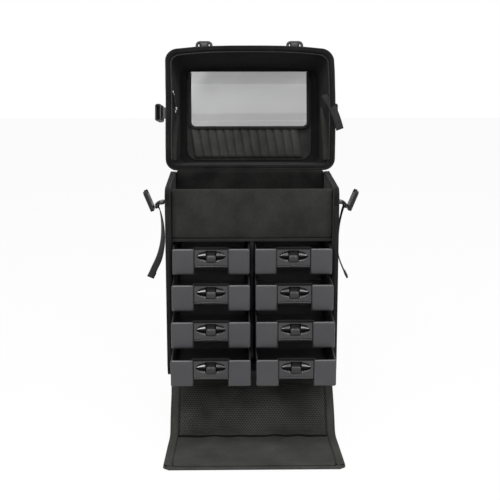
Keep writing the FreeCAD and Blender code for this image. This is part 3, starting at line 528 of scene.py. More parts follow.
def upright(x, y, turn):
    """Placement that stands a panel's plane up: its face looks along -Y, turned about Z."""
    stand = Matrix.Rotation(turn, 4, "Z") @ Matrix.Rotation(QUARTER, 4, "X")
    return Matrix.Translation((x, y, 0)) @ stand


# Case body

WALL_CORNER = 0.018
PANEL_CORNER = 0.005
STITCH_PITCH = 0.0042
PIPING_HALF_DEPTH = 0.1235
PIPING_INSET = 0.0015
OUTER_PIPING_SINK = 0.0012
OUTER_PIPING_RADIUS = 0.0021
INNER_PIPING_SINK = 0.001
INNER_PIPING_RADIUS = 0.0018
ZIP_START = 0.02
ZIP_STEP = 0.0335
ZIP_POINTS = 11
ZIP_TAPE_PROUD = 0.0006
WALL_TEETH_PROUD = 0.0008
WALL_SEAM_PROUD = 0.0011
WALL_SEAM_DEPTH_SHARE = 0.94
WALL_SEAM_HEIGHT_SHARE = 0.965
WALL_MIDDLE = 0.299


def padded_wall(node, turn, material, thick, corner, swell=0.0):
    """Replace an upright CAD panel by a padded one in the same space."""
    low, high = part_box(node)
    middle = (low + high) / 2
    along_x = abs(math.cos(turn)) > 0.5
    half = (high.x - low.x) / 2 if along_x else (high.y - low.y) / 2
    shape = pillow(half, low.z, high.z, corner, thick, swell, wave=0.0006)
    obj = piece(f"{node}_pad", *shape, [material], "case", "black_fabric", [node],
                place=upright(middle.x, middle.y, turn))


def body_shell():
    """Padded walls, front panel, sill and bottom board."""
    low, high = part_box("left_side_wall")
    wall_thick = high.x - low.x
    for side, sign in SIDES:
        padded_wall(f"{side}_side_wall", sign * QUARTER, outer_cloth, wall_thick, WALL_CORNER, swell=0.003)
    padded_wall("back_wall", math.pi, outer_cloth, wall_thick, corner=0.006, swell=0.0005)
    padded_wall("front_panel", 0, panel_cloth, thick=0.008, corner=PANEL_CORNER, swell=0.0012)
    padded_wall("front_sill", 0, outer_cloth, thick=0.014, corner=PANEL_CORNER)
    low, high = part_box("bottom_board")
    shape = pillow((high.x - low.x) / 2, low.y, high.y, corner=0.01, thick=high.z - low.z)
    board = piece("bottom_board_pad", *shape, [outer_cloth], "case", "black_fabric", ["bottom_board"],
                  place=Matrix.Translation((0, 0, (low.z + high.z) / 2)))
    wall_trim()


def wall_trim():
    """Piping round each side wall, the zip down its front edge and the seams on its face."""
    for side, sign in SIDES:
        low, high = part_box(f"{side}_side_wall")
        outer_x = low.x if sign < 0 else high.x
        inner_x = high.x if sign < 0 else low.x
        ring = rounded_loop(PIPING_HALF_DEPTH, low.z + PIPING_INSET, high.z - PIPING_INSET, WALL_CORNER)
        for face, x, radius in (("outer", outer_x - sign * OUTER_PIPING_SINK, OUTER_PIPING_RADIUS),
                                ("inner", inner_x + sign * INNER_PIPING_SINK, INNER_PIPING_RADIUS)):
            edge = [Vector((x, y, z)) for y, z in ring]
            piece(f"{side}_{face}_piping", *tube(edge, radius, closed=True), [binding_cloth], "case",
                  "black_fabric")
        foot = Vector(((outer_x + inner_x) / 2, low.y - ZIP_TAPE_PROUD, low.z + ZIP_START))
        tape = [foot + UP * step * ZIP_STEP for step in range(ZIP_POINTS)]
        strip = ribbon(tape, RIGHT, width=0.0075, thick=0.0012)
        piece(f"{side}_zip_tape", *strip, [binding_cloth], "case", "black_fabric")
        track = [end + FORWARD * WALL_TEETH_PROUD for end in (tape[0], tape[-1])]
        teeth = blocks(track, FORWARD, pitch=0.0026, size=(0.0015, 0.004, 0.0016))
        piece(f"{side}_zip_teeth", *teeth, [black_plastic], "case", "black_plastic", smooth=False)
        seam = []
        for y, z in ring:
            level = (z - WALL_MIDDLE) * WALL_SEAM_HEIGHT_SHARE + WALL_MIDDLE
            seam.append(Vector((outer_x + sign * WALL_SEAM_PROUD, y * WALL_SEAM_DEPTH_SHARE, level)))
        stitches = blocks(seam, RIGHT * sign, STITCH_PITCH, size=(0.0028, 0.0007, 0.0008), closed=True)
        piece(f"{side}_wall_stitches", *stitches, [thread_cloth], "case", "black_fabric", smooth=False)


# Lid, in metres about its hinge line with the lid closed

LID_HINGE = Vector(joints["lid_hinge"]["pos_m"])
LID_OPEN = math.radians(joints["lid_hinge"]["range_deg"][1])
LID_TO_WORLD = Matrix.Translation(LID_HINGE) @ Matrix.Rotation(-LID_OPEN, 4, "X")
LID_HEIGHT = 0.110
LID_SKIN = 0.008
LID_CEILING = LID_HEIGHT - LID_SKIN
LID_CORNER = 0.021
LID_LEAST_CORNER = 0.006
LID_CORNER_RATE = 0.6
LID_FRONT_ARCH = 0.010
LID_FRONT_SWELL = 0.005
LID_RIGHT_BOW = 0.004
LID_RIM_HALF = 0.182
LID_TOP_HALF = 0.162
LID_RIM_FRONT = -0.264
LID_TOP_FRONT = -0.240
LID_TOP_BACK = -0.016
LID_HINGE_GAP = 0.0005
LID_SHOULDER = 0.015
LID_SHOULDER_STEPS = 4
LID_DOME = 0.001
LID_DOME_REACH = 0.62
LID_DOME_SHARES = (0.1, 0.3, 0.5, 0.7, 0.86, 0.95)
LID_WALL_BOW = 0.0035
LID_WALL_SHARES = (0.7, 0.52, 0.35, 0.2, 0.08, 0.03)
LID_LINING_BOW = -0.0015
LID_LINING_SHARES = (0.03, 0.08, 0.2, 0.36, 0.54, 0.74, 0.88)
# Heights and insets over the rolled rim, and insets and height shares where the lining meets the ceiling
LID_RIM_ROLL = ((0.0004, 0.001), (-0.0006, 0.003), (-0.0006, 0.0052), (0.0004, 0.0072))
LID_CEILING_ROWS = ((0.009, 0.955), (0.012, 0.985), (0.018, 1.0), (0.05, 1.0), (0.1, 1.0))
# Name, height, distance out of the wall and radius of each piping
LID_PIPINGS = (("rim", 0.002, 0.0012, 0.0024), ("shoulder", LID_HEIGHT - LID_SHOULDER, 0.0004, 0.0019))
LID_ZIP_HEIGHT = 0.004
LID_ZIP_INSET = LID_SKIN + 0.0005
LID_ZIP_END = -0.02
LID_SEAM_HEIGHT = LID_HEIGHT * 0.12
LID_SEAM_PROUD = 0.0009


def lid_outline(height, inset, bow=0.0):
    """The lid's section at a height above its rim, drawn in by an inset."""
    share = max(0.0, height) / LID_HEIGHT
    half = LID_RIM_HALF + (LID_TOP_HALF - LID_RIM_HALF) * share - inset
    front = LID_RIM_FRONT + (LID_TOP_FRONT - LID_RIM_FRONT) * share + inset
    back = LID_TOP_BACK * share - LID_HINGE_GAP - inset
    ring = rounded_loop(half, front, back, max(LID_LEAST_CORNER, LID_CORNER - inset * LID_CORNER_RATE))
    middle = Vector((0, (front + back) / 2))
    half_depth = abs(front - back) / 2
    loop = []
    for point in ring:
        away = point - middle
        sideways = min(1.0, abs(away.x) / half)
        endways = min(1.0, abs(away.y) / half_depth)
        flat_x = 1 - endways ** 2
        flat_y = 1 - sideways ** 2
        push = Vector((math.copysign(flat_x, away.x), math.copysign(flat_y, away.y))) * bow
        if away.x > 0:
            push.x += flat_x * LID_RIGHT_BOW
        if away.y > 0:
            push.y = min(push.y, 0)
        elif away.y < 0:
            push.y += endways ** 2 * (LID_FRONT_ARCH * sideways ** 3 - LID_FRONT_SWELL)
        soft = ripple((point.x, point.y, height), size=0.05, amount=0.0012)
        spot = point + push
        loop.append(Vector((spot.x + soft, spot.y, height)))
    return loop


def lid_shell():
    """Soft lid: bowed outer walls, a domed top, a rolled rim and a lined inside."""
    outer = []
    for share in LID_DOME_SHARES:
        reach = LID_TOP_HALF * LID_DOME_REACH * (1 - share)
        outer.append(lid_outline(LID_HEIGHT + LID_DOME * (1 - share), LID_SHOULDER + reach))
    for step in range(LID_SHOULDER_STEPS + 1):
        turn = QUARTER * (1 - step / LID_SHOULDER_STEPS)
        outer.append(lid_outline(LID_HEIGHT - LID_SHOULDER * (1 - math.sin(turn)),
                                 LID_SHOULDER * (1 - math.cos(turn))))
    for share in LID_WALL_SHARES:
        outer.append(lid_outline(LID_HEIGHT * share, 0.0, LID_WALL_BOW * math.sin(math.pi * share)))
    rim = [lid_outline(height, inset) for height, inset in LID_RIM_ROLL]
    inner = []
    for share in LID_LINING_SHARES:
        inner.append(lid_outline(LID_CEILING * share, LID_SKIN, LID_LINING_BOW * math.sin(math.pi * share)))
    for inset, share in LID_CEILING_ROWS:
        inner.append(lid_outline(LID_CEILING * share, inset))
    loops = outer + rim + inner
    verts, faces = skin(loops, True, True, True)
    lined_from = (len(outer) + len(rim) // 2) * len(loops[0])
    slots = [1 if min(face) >= lined_from else 0 for face in faces]
    shell = piece("lid_cover", verts, faces, [outer_cloth, lining_cloth], "lid", "black_fabric",
                  ["lid_shell"], slots, LID_TO_WORLD)
    lid_edging()


def lid_edging():
    """Piping on the lid's rim and shoulder, its zip's teeth and a row of stitches."""
    for name, height, outset, radius in LID_PIPINGS:
        edge = lid_outline(height, -outset)
        piece(f"lid_{name}_piping", *tube(edge, radius, closed=True), [binding_cloth], "lid", "black_fabric",
              place=LID_TO_WORLD)
    track = lid_zip_path(lid_outline(LID_ZIP_HEIGHT, LID_ZIP_INSET))
    teeth = blocks(track, -UP, pitch=0.0028, size=(0.0016, 0.004, 0.0016))
    piece("lid_zip_teeth", *teeth, [black_plastic], "lid", "black_plastic", place=LID_TO_WORLD, smooth=False)
    seam = lid_outline(LID_SEAM_HEIGHT, -LID_SEAM_PROUD)
    stitches = blocks(seam, UP, STITCH_PITCH, size=(0.0028, 0.0006, 0.0008), closed=True)
    piece("lid_stitches", *stitches, [thread_cloth], "lid", "black_fabric", place=LID_TO_WORLD, smooth=False)


def lid_zip_path(loop):
    """The part of the rim that the zip runs round: everything but the hinge side."""
    start = max(range(len(loop)), key=lambda index: (loop[index].y, loop[index].x))
    ordered = loop[start:] + loop[:start]
    return [point for point in ordered if point.y < LID_ZIP_END]


# Brush holder on the lid's ceiling

BRUSH_PANEL_LEVEL = LID_CEILING - 0.0016
PLEATS = 13
PLEAT_STEPS = 12
PLEAT_ROWS = 10
PLEAT_LEFT = -0.128
PLEAT_RIGHT = 0.116
PLEAT_TOP = -0.102
PLEAT_FOOT = -0.034
PLEAT_SLANT = 0.010
PLEAT_SWAY = 0.0015
PLEAT_SWAY_RATE = 2.1
PLEAT_FULLNESS = 0.0075
PLEAT_LEVEL = LID_CEILING - 0.0036
PLEAT_HEM = Vector((0, -0.0004, 0.0016))


def pleat_point(pleat, share):
    """A point of the gathered cloth, at a count of pleats across it and a share of its length."""
    phase = pleat - math.floor(pleat)
    fold = math.sin(math.pi * phase ** 0.55) ** 0.6 if 0 < phase < 1 else 0.0
    fullness = PLEAT_FULLNESS * (0.35 + 0.65 * math.sin(math.pi * (0.15 + 0.7 * (1 - share))))
    x = PLEAT_LEFT + (PLEAT_RIGHT - PLEAT_LEFT) * pleat / PLEATS + PLEAT_SLANT * (share - 0.5)
    x += PLEAT_SWAY * (share - 0.5) * math.sin(PLEAT_SWAY_RATE * pleat)
    y = PLEAT_TOP + (PLEAT_FOOT - PLEAT_TOP) * share
    soft = ripple((x, y, 7.0), size=0.02, amount=0.0004)
    return Vector((x, y, PLEAT_LEVEL - fullness * fold - soft))


def brush_holder():
    """A thin padded panel with a row of slots gathered on it."""
    shape = pillow(half_width=0.142, low=-0.228, high=-0.028, corner=0.024, thick=0.003, wave=0.0003)
    panel = piece("brush_panel_pad", *shape, [holder_cloth], "lid", "lining", ["brush_panel"],
                  place=LID_TO_WORLD @ Matrix.Translation((0, 0, BRUSH_PANEL_LEVEL)))
    loops = []
    for row in range(PLEAT_ROWS + 1):
        share = row / PLEAT_ROWS
        loops.append([pleat_point(column / PLEAT_STEPS, share) for column in range(PLEATS * PLEAT_STEPS + 1)])
    edge = [point + PLEAT_HEM for point in loops[0]]
    slots = piece("brush_slot_pleats", *skin([edge] + loops, False), [pleat_cloth], "lid", "lining",
                  ["brush_slots"], place=LID_TO_WORLD)
    thicken(slots, thick=0.0008, offset=1)


# Clear pocket over the brush holder

FILM_HALF = 0.133
FILM_TOP = -0.229
FILM_FOOT = -0.103
FILM_LEVEL = LID_CEILING - 0.0114
FILM_COLUMNS = 40
FILM_ROWS = 20
FILM_SAG_STRETCH = 1.5
BINDING_PAST_FILM = 0.0015
BINDING_TOP = FILM_TOP + 0.001
BINDING_BEND = 0.013
BINDING_STEPS = 6


def clear_film():
    """The film's rows of points, with slight sags."""
    loops = []
    for row in range(FILM_ROWS + 1):
        y = FILM_TOP + (FILM_FOOT - FILM_TOP) * row / FILM_ROWS
        loop = []
        for column in range(FILM_COLUMNS + 1):
            x = -FILM_HALF + 2 * FILM_HALF * column / FILM_COLUMNS
            sag = ripple((x, y * FILM_SAG_STRETCH, 2.0), size=0.07, amount=0.0007)
            loop.append(Vector((x, y, FILM_LEVEL + sag)))
        loops.append(loop)
    return skin(loops, False)


def clear_pocket():
    """Clear film hung from its top edge, bound on three sides."""
    film = piece("clear_film", *clear_film(), [vinyl], "clear_pocket", "clear_vinyl", ["clear_window"],
                 place=LID_TO_WORLD)
    edge = FILM_HALF + BINDING_PAST_FILM
    low = FILM_FOOT + BINDING_PAST_FILM
    left = [Vector((-edge, BINDING_TOP, FILM_LEVEL)), Vector((-edge, (FILM_TOP + low) / 2, FILM_LEVEL))]
    for step in range(BINDING_STEPS + 1):
        turn = QUARTER * step / BINDING_STEPS
        left.append(Vector((-edge + BINDING_BEND * (1 - math.cos(turn)),
                            low - BINDING_BEND * (1 - math.sin(turn)), FILM_LEVEL)))
    path = left + [Vector((-point.x, point.y, point.z)) for point in reversed(left)]
    across = []
    for before, after in zip(path[:1] + path, path[1:] + path[-1:]):
        across.append((after - before).cross(UP))
    border = piece("clear_film_binding", *ribbon(path, across, width=0.007, thick=0.0026), [binding_cloth],
                   "clear_pocket", "lining", ["window_binding"], place=LID_TO_WORLD)


# Hinge cloths

HINGE_CLOTH_STEPS = 12
LID_CLOTH_PITCH = 0.0118
LID_CLOTH_PROUD = 0.0012
LID_CLOTH_ON_BODY = ((0.1256, 0.4885), (0.1258, 0.4905), (0.1262, 0.4935), (0.1272, 0.4965))
LID_CLOTH_ON_LID = (0.004, 0.012, 0.022, 0.034)


def hinge_strip(name, rows, pitch, material):
    """A sewn strip whose middle line follows the rows, and its rows of points."""
    steps = range(-HINGE_CLOTH_STEPS, HINGE_CLOTH_STEPS + 1)
    loops = [[row + Vector((step * pitch, 0, 0)) for step in steps] for row in rows]
    strip = piece(name, *skin(loops, False), [material], None, "black_fabric")
    thicken(strip, thick=0.0012)
    return strip, loops


def hinge_cloth():
    """Sewn cloth across the back that the lid folds on."""
    rows = [Vector((0, y, z)) for y, z in LID_CLOTH_ON_BODY]
    for depth in LID_CLOTH_ON_LID:
        rows.append(LID_TO_WORLD @ Vector((0, LID_TOP_BACK * depth / LID_HEIGHT + LID_CLOTH_PROUD, depth)))
    strip, loops = hinge_strip("lid_hinge_cloth", rows, LID_CLOTH_PITCH, outer_cloth)
    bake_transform(strip)


# Lid trim

PULL_CORD_DIAMETER = 0.0024
# Where each pull cord leaves its slider, and where it ends
ZIP_PULLS = (
    ((-0.1690, -0.1680, 0.0095), (-0.1620, -0.1359, 0.0168)),
    ((-0.1675, -0.1640, 0.0180), (-0.1645, -0.1311, 0.0256)),
)
PULL_CORD_BELLY = Vector((0.002, 0, -0.001))
PULL_END_STATIONS = (-0.003, -0.002, 0.003, 0.004)
SLIDER_SPAN = (-0.006, 0.004)
SLIDER_LOOP = ((0, -0.007, -0.002), (0.001, -0.003, -0.0035), (0, 0.002, -0.002))
GUSSET_LEAN = 0.35
GUSSET_REACHES = ((-1, -0.122), (1, -0.140))
GUSSET_FOOT = -0.020
TAB_WIDTH = 0.017
TAB_ACROSS = Vector((0.93, -0.34, -0.1))
TAB_POINTS = ((0.1660, -0.165, 0.014), (0.1760, -0.147, 0.006), (0.1850, -0.127, -0.002),
              (0.1925, -0.105, -0.005), (0.1980, -0.086, -0.004))
BUCKLE_WIDTH = 0.038
BUCKLE_HEIGHT = 0.019
BUCKLE_BAR = 0.0032
BUCKLE_SETBACK = 0.004
BUCKLE_DROP = 0.016
BUCKLE_LEAN = 0.25
SLAB_TURN = math.radians(76)
# Half width and top of the tongue and of the housing in each front buckle
BUCKLE_SLABS = ((0.0105, BUCKLE_HEIGHT + 0.0015), (BUCKLE_WIDTH / 2, BUCKLE_HEIGHT * 0.55))


def pull_cord(name, route):
    """A thin cord that hangs from its zip slider and ends in metal."""
    line = bpy.data.curves.new(name, "CURVE")
    line.dimensions = "3D"
    line.bevel_depth = PULL_CORD_DIAMETER / 2
    line.use_fill_caps = True
    line.materials.append(black_plastic)
    spline = line.splines.new("NURBS")
    spline.points.add(len(route) - 1)
    for control, point in zip(spline.points, route):
        control.co = (*(LID_TO_WORLD @ point), 1)
    spline.order_u = 3
    spline.use_endpoint_u = True
    cord = bpy.data.objects.new(name, line)
    scene.collection.objects.link(cord)
    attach(cord, "lid")
    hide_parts("lid_zip_pulls")


def zip_pulls():
    """Two sliders inside the left wall, each with a pull cord."""
    sliders = []
    loops = []
    for number, (start, end) in enumerate(ZIP_PULLS, 1):
        begin = Vector(start)
        finish = Vector(end)
        middle = (begin + finish) / 2 + PULL_CORD_BELLY
        span = [begin + Vector((0, y, 0)) for y in SLIDER_SPAN]
        sliders.append(blocks(span, RIGHT, pitch=0.010, size=(0.009, 0.006, 0.005)))
        loops.append(tube([begin + Vector(point) for point in SLIDER_LOOP], radius=0.0008, sides=6))
        along = (finish - middle).normalized()
        tip = tube([finish + along * station for station in PULL_END_STATIONS], radius=0.0024, sides=10)
        metal_end = piece(f"lid_zip_pull_end_{number}", *tip, [bright_metal], "lid", "zip_metal",
                          place=LID_TO_WORLD)
        pull_cord(f"lid_zip_pull_cord_{number}", [begin, middle, finish])
    piece("lid_zip_sliders", *joined(sliders), [black_plastic], "lid", "black_plastic", place=LID_TO_WORLD)
    piece("lid_zip_slider_loops", *joined(loops), [bright_metal], "lid", "zip_metal", place=LID_TO_WORLD)


def zip_gussets():
    """Cloth gussets between the lid's walls and the zip's ends."""
    gussets = []
    for sign, reach in GUSSET_REACHES:
        route = ((0.1605, reach, 0.040), (0.1655, reach * 0.72, 0.028), (0.1690, reach * 0.4, 0.018),
                 (0.1690, GUSSET_FOOT, 0.012))
        path = smooth_path([Vector((sign * x, y, z)) for x, y, z in route])
        lean = Vector((1, 0, -GUSSET_LEAN * sign))
        gussets.append(ribbon(path, lean, width=0.016, thick=0.0016, start_share=0.35))
    piece("lid_zip_gussets", *joined(gussets), [panel_cloth], "lid", "black_fabric", place=LID_TO_WORLD)


def zip_end_tab():
    """The webbing tab at the zip's end, folded out over the right wall."""
    path = smooth_path([Vector(point) for point in TAB_POINTS])
    strip = ribbon(path, TAB_ACROSS, TAB_WIDTH, thick=0.0024)
    tab = piece("lid_zip_end_tab", *strip, [webbing], "lid", "webbing", place=LID_TO_WORLD)


def front_buckles():
    """Two buckles on the lid's front edge: a rounded frame, a tongue and a housing."""
    low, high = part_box("lid_front_buckles")
    reach = (high.x - low.x) / 2 - BUCKLE_WIDTH / 2
    frames = []
    for _, sign in SIDES:
        foot = Vector((sign * reach, low.y + BUCKLE_SETBACK, high.z - BUCKLE_DROP))
        ring = rounded_loop(BUCKLE_WIDTH / 2 - BUCKLE_BAR, 0.0, BUCKLE_HEIGHT, corner=0.007)
        path = [foot + Vector((x, BUCKLE_LEAN * z, z)) for x, z in ring]
        frames.append(tube(path, BUCKLE_BAR, 10, True))
        stand = Matrix.Translation(foot) @ Matrix.Rotation(SLAB_TURN, 4, "X")
        for half, top in BUCKLE_SLABS:
            slab = pillow(half, low=-0.004, high=top, corner=0.004, thick=0.0085, swell=0.001)
            frames.append(moved(slab, stand))
    piece("lid_front_buckle_frames", *joined(frames), [black_plastic], "lid", "black_plastic",
          ["lid_front_buckles"])


def lid_trim():
    """Zip pulls, the zip's cloth gussets, its end tab and the front buckles."""
    zip_pulls()
    zip_gussets()
    zip_end_tab()
    front_buckles()


# Drawers, with sizes about the foot of a drawer's front plane

DRAWER_ROWS = (1, 2, 3, 4)
BLOCK_THICK = 0.0056
BLOCK_PROUD = 0.0022
BLOCK_OVERHANG = 0.0006
BLOCK_GAP = 0.0007
LATCH_HALF = 0.0335
LATCH_FOOT = 0.0085
LATCH_COLUMNS = 100
LATCH_ROWS = 72
SEAM_ROUND = 0.0014
LIP_RADIUS = 0.009
LIP_SHADE = 0.0045
TOP_SHADE = 0.0042
DISH_LEVEL = 0.037
DISH_HALF_WIDTH = 0.0285
DISH_HALF_HEIGHT = 0.0105
DISH_DEPTH = 0.0066
DISH_RIDGE = 0.0004
DISH_GLOSS_FROM = 0.001
SLOT_HALF = 0.0101
SLOT_BELOW = 0.0095
SLOT_ABOVE = 0.0112
SLOT_DEPTH = 0.0092
MARK_DEPTH = 0.0007
GROOVE_LEVEL = 0.0178
GROOVE_BOW = 0.0016
GROOVE_HALF = 0.0009
DIMPLE_LEVEL = 0.0222
DIMPLE_RADIUS = 0.0012
# Latch plate finishes: the third is black paint standing for shade, and the lip is painted darker as shade
SATIN, GLOSS, PAINTED_SHADE, LIP = range(4)
ROCKER_PIVOT_RISE = 0.001
# Depth behind the front plane and height from the recess's middle, down the rocker
ROCKER_PROFILE = ((0.0046, 0.0094), (0.0045, 0.0070), (0.0040, 0.0040), (0.0030, 0.0018), (0.0013, 0.0006),
                  (0.0004, -0.0014), (0.0, -0.0045), (-0.0003, -0.0078), (-0.0005, -0.0108),
                  (0.0003, -0.0120))


def dish_half_height(x):
    """Half the height of the finger recess at a distance from its middle."""
    return DISH_HALF_HEIGHT * math.sqrt(max(0.0, 1 - (x / DISH_HALF_WIDTH) ** 2))


def in_dish(x, z):
    return abs(x) < DISH_HALF_WIDTH and abs(z - DISH_LEVEL) < dish_half_height(x)


def in_slot(x, z):
    return abs(x) < SLOT_HALF and DISH_LEVEL - SLOT_BELOW < z < DISH_LEVEL + SLOT_ABOVE


def dip(distance, half):
    """Depth of a moulded mark at a distance from its middle."""
    return MARK_DEPTH * math.cos(distance / half * QUARTER) if distance < half else 0.0


def latch_front(x, z):
    """How far the latch plate's face lies behind the drawer's front plane."""
    if in_slot(x, z):
        return SLOT_DEPTH
    if in_dish(x, z):
        half_height = dish_half_height(x)
        away = abs(z - DISH_LEVEL) / half_height
        return DISH_RIDGE + DISH_DEPTH * math.sqrt(half_height / DISH_HALF_HEIGHT) * away ** 2
    past_seam = SEAM_ROUND - (LATCH_HALF - abs(x))
    depth = round_off(SEAM_ROUND, past_seam) if past_seam > 0 else 0.0
    past_lip = LATCH_FOOT + LIP_RADIUS - z
    if past_lip > 0:
        depth = max(depth, round_off(LIP_RADIUS, past_lip))
    groove = abs(z - GROOVE_LEVEL + GROOVE_BOW * (x / LATCH_HALF) ** 2)
    dimple = math.hypot(x, z - DIMPLE_LEVEL)
    return depth + dip(groove, GROOVE_HALF) + dip(dimple, DIMPLE_RADIUS)


def latch_finish(x, z, top):
    """Which finish a spot of the latch plate has. Painted shade goes on the slot, a strip along the top and
    the recess's lower half, and the lip is painted darker as shade. Gloss is on the recess's upper half.
    """
    if in_slot(x, z) or z > top - TOP_SHADE:
        return PAINTED_SHADE
    if z < LATCH_FOOT + LIP_SHADE:
        return LIP
    if in_dish(x, z):
        return GLOSS if z > DISH_LEVEL + DISH_GLOSS_FROM else PAINTED_SHADE
    return SATIN


def latch_mesh(low_z, high_z, deep):
    """One latch plate, with a finish for each face; its sides and back are painted black as shade."""
    front = []
    for row in range(LATCH_ROWS + 1):
        z = low_z + (high_z - low_z) * row / LATCH_ROWS
        line = []
        for column in range(LATCH_COLUMNS + 1):
            x = LATCH_HALF * (2 * column / LATCH_COLUMNS - 1)
            line.append(Vector((x, latch_front(x, z), z)))
        front.append(line)
    verts, faces = skin(front, False)
    finishes = []
    for face in faces:
        middle = sum((verts[index] for index in face), Vector()) / 4
        finishes.append(latch_finish(middle.x, middle.z, high_z))
    rim = grid_rim(LATCH_ROWS, LATCH_COLUMNS)
    start = len(verts)
    count = len(rim)
    verts += [Vector((verts[index].x, deep, verts[index].z)) for index in rim]
    for index in range(count):
        following = (index + 1) % count
        faces.append((rim[index], rim[following], start + following, start + index))
    faces.append(tuple(range(start, start + count)))
    # The plate's sides and back get the black painted shade
    finishes += [PAINTED_SHADE] * (count + 1)
    return verts, faces, finishes


def latch_rocker(foot):
    """The lever: a half sunk in the slot above its pivot, painted black as shade, and a finger tab below it.
    """
    path = [foot + Vector((0, depth, DISH_LEVEL + rise)) for depth, rise in ROCKER_PROFILE]
    verts, faces = ribbon(path, RIGHT, width=0.019, thick=0.0021)
    pivot = foot.z + DISH_LEVEL + ROCKER_PIVOT_RISE
    # Faces above the pivot get the black painted shade
    finishes = [1 if sum(verts[index].z for index in face) / len(face) > pivot else 0 for face in faces]
    return verts, faces, finishes


def dress(node, material, width, segments=2):
    """Give a carried-over CAD piece its finish and soft moulded edges."""
    obj = nodes[node]
    obj.data.materials.clear()
    obj.data.materials.append(material)
    weld = obj.modifiers.new("weld", "WELD")
    weld.merge_threshold = 0.00001
    edge = obj.modifiers.new("edges", "BEVEL")
    edge.width = width
    edge.segments = segments
    edge.limit_method = "ANGLE"
    edge.angle_limit = math.radians(35)
    edge.harden_normals = True


def front_blocks(low, high):
    """The two rounded blocks of a drawer's front, one each side of its latch plate."""
    middle = (low.x + high.x) / 2
    half = ((high.x - low.x) / 2 + BLOCK_OVERHANG - LATCH_HALF - BLOCK_GAP) / 2
    reach = LATCH_HALF + BLOCK_GAP + half
    y = low.y - BLOCK_PROUD + BLOCK_THICK / 2
    block = pillow(half, low.z - BLOCK_OVERHANG, high.z + BLOCK_OVERHANG, corner=0.004, thick=BLOCK_THICK,
                   swell=0.0003)
    return joined([moved(block, upright(middle + sign * reach, y, 0)) for _, sign in SIDES])


def drawers():
    """Eight drawers, each with its tray, front blocks, latch plate and rocker."""
    for row in DRAWER_ROWS:
        for side, _ in SIDES:
            name = f"{side}_drawer_{row}"
            dress(f"{name}_tray", drawer_plastic, width=0.0016, segments=3)
            tray_low, tray_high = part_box(f"{name}_tray")
            plate_low, plate_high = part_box(f"{name}_latch_plate")
            piece(f"{name}_front_blocks", *front_blocks(tray_low, tray_high), [drawer_plastic], name,
                  "drawer_plastic")
            foot = Vector(((tray_low.x + tray_high.x) / 2, plate_low.y, tray_low.z))
            verts, faces, finishes = latch_mesh(plate_low.z - foot.z, plate_high.z - foot.z,
                                                plate_high.y - plate_low.y)
            piece(f"{name}_latch_face", verts, faces, [plate_plastic, latch_gloss, painted_shade_black, black_plastic],
                  name, "drawer_plastic", [f"{name}_latch_plate"], finishes, Matrix.Translation(foot))
            verts, faces, finishes = latch_rocker(foot)
            piece(f"{name}_latch_rocker", verts, faces, [lever_plastic, painted_shade_black], f"{name}_latch",
                  "drawer_plastic", [f"{name}_latch_lever"], finishes)


# Front flap, with places along it as shares of its length and across it as shares of its half width

FLAP_HINGE = Vector(joints["flap_hinge"]["pos_m"])
FLAP_FOLD_Y = -0.205
FLAP_EDGE_ROLL = 0.006
FLAP_END_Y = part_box("flap_panel")[0].y - FLAP_EDGE_ROLL
FLAP_FLOOR_GAP = 0.0006
FLAP_NEAR_HALF = 0.161
FLAP_FAR_HALF = 0.169
FLAP_THICK = 0.007
FLAP_STRIP = 0.015
FLAP_INNER = 1 - FLAP_STRIP / FLAP_FAR_HALF
FLAP_CORNER = 0.009
FLAP_PINCH = 0.0012
FLAP_PINCH_REACH = 0.02
FLAP_ROUNDING_LENGTH = 0.275
FLAP_RIPPLE_LENGTH = 0.28
FOLD_SOFTNESS = 0.03
NET_START = 0.06
NET_PAST_FOLD = 0.03
NET_MARGIN = 0.004
NET_THICK = 0.0028
STRIP_ENDS = (0.03, 0.985)
STRIP_OUTER = 0.999
STRIP_PROUD = 0.0026
LAYER_SINK = 0.001
ELASTIC_STEPS = 60
ELASTIC_MARGIN = 0.006
ELASTIC_PROUD = 0.0024
ELASTIC_BOW = 0.0012
ELASTIC_BOW_RATE = 0.55
HEM_ENDS = (0.945, 0.99)
HEM_PROUD = 0.0014
FLAP_PIPING_STEPS = 40
FLAP_SEAM_OUTER = 0.985
FLAP_SEAM_MARGIN = 0.006
FLAP_SEAM_START = 0.04
FLAP_SEAM_LENGTH = 0.94
FLAP_SEAM_STEPS = 57
FLAP_SEAM_PROUD = 0.0022
FLAP_SEAM_OUTWARD = Vector((0, -0.3, 1))
FLAP_CLOTH_PITCH = 0.0128
FLAP_CLOTH_ON_BODY = ((-0.1225, 0.118), (-0.1245, 0.112), (-0.1255, 0.107))
FLAP_CLOTH_ON_FLAP = (0.012, 0.03, 0.06)
FLAP_CLOTH_LIFT = FLAP_THICK * 0.9


def flap_path(share):
    """Point on the flap's underside, and the direction up out of it, at a share of its length."""
    hinge = Vector((0, FLAP_HINGE.y, FLAP_HINGE.z))
    fold = Vector((0, FLAP_FOLD_Y, FLAP_FLOOR_GAP))
    end = Vector((0, FLAP_END_Y, FLAP_FLOOR_GAP))
    slope = (fold - hinge).length
    flat = (end - fold).length
    reach = share * (slope + flat)
    down = (fold - hinge) / slope
    out = (end - fold) / flat
    if reach < slope - FOLD_SOFTNESS:
        place, along = hinge + down * reach, down
    elif reach > slope + FOLD_SOFTNESS:
        place, along = fold + out * (reach - slope), out
    else:
        bend = (reach - slope + FOLD_SOFTNESS) / (2 * FOLD_SOFTNESS)
        first = fold - down * FOLD_SOFTNESS
        last = fold + out * FOLD_SOFTNESS
        place = first * (1 - bend) ** 2 + fold * 2 * bend * (1 - bend) + last * bend ** 2
        along = (down * (1 - bend) + out * bend).normalized()
    return place, along.cross(RIGHT)


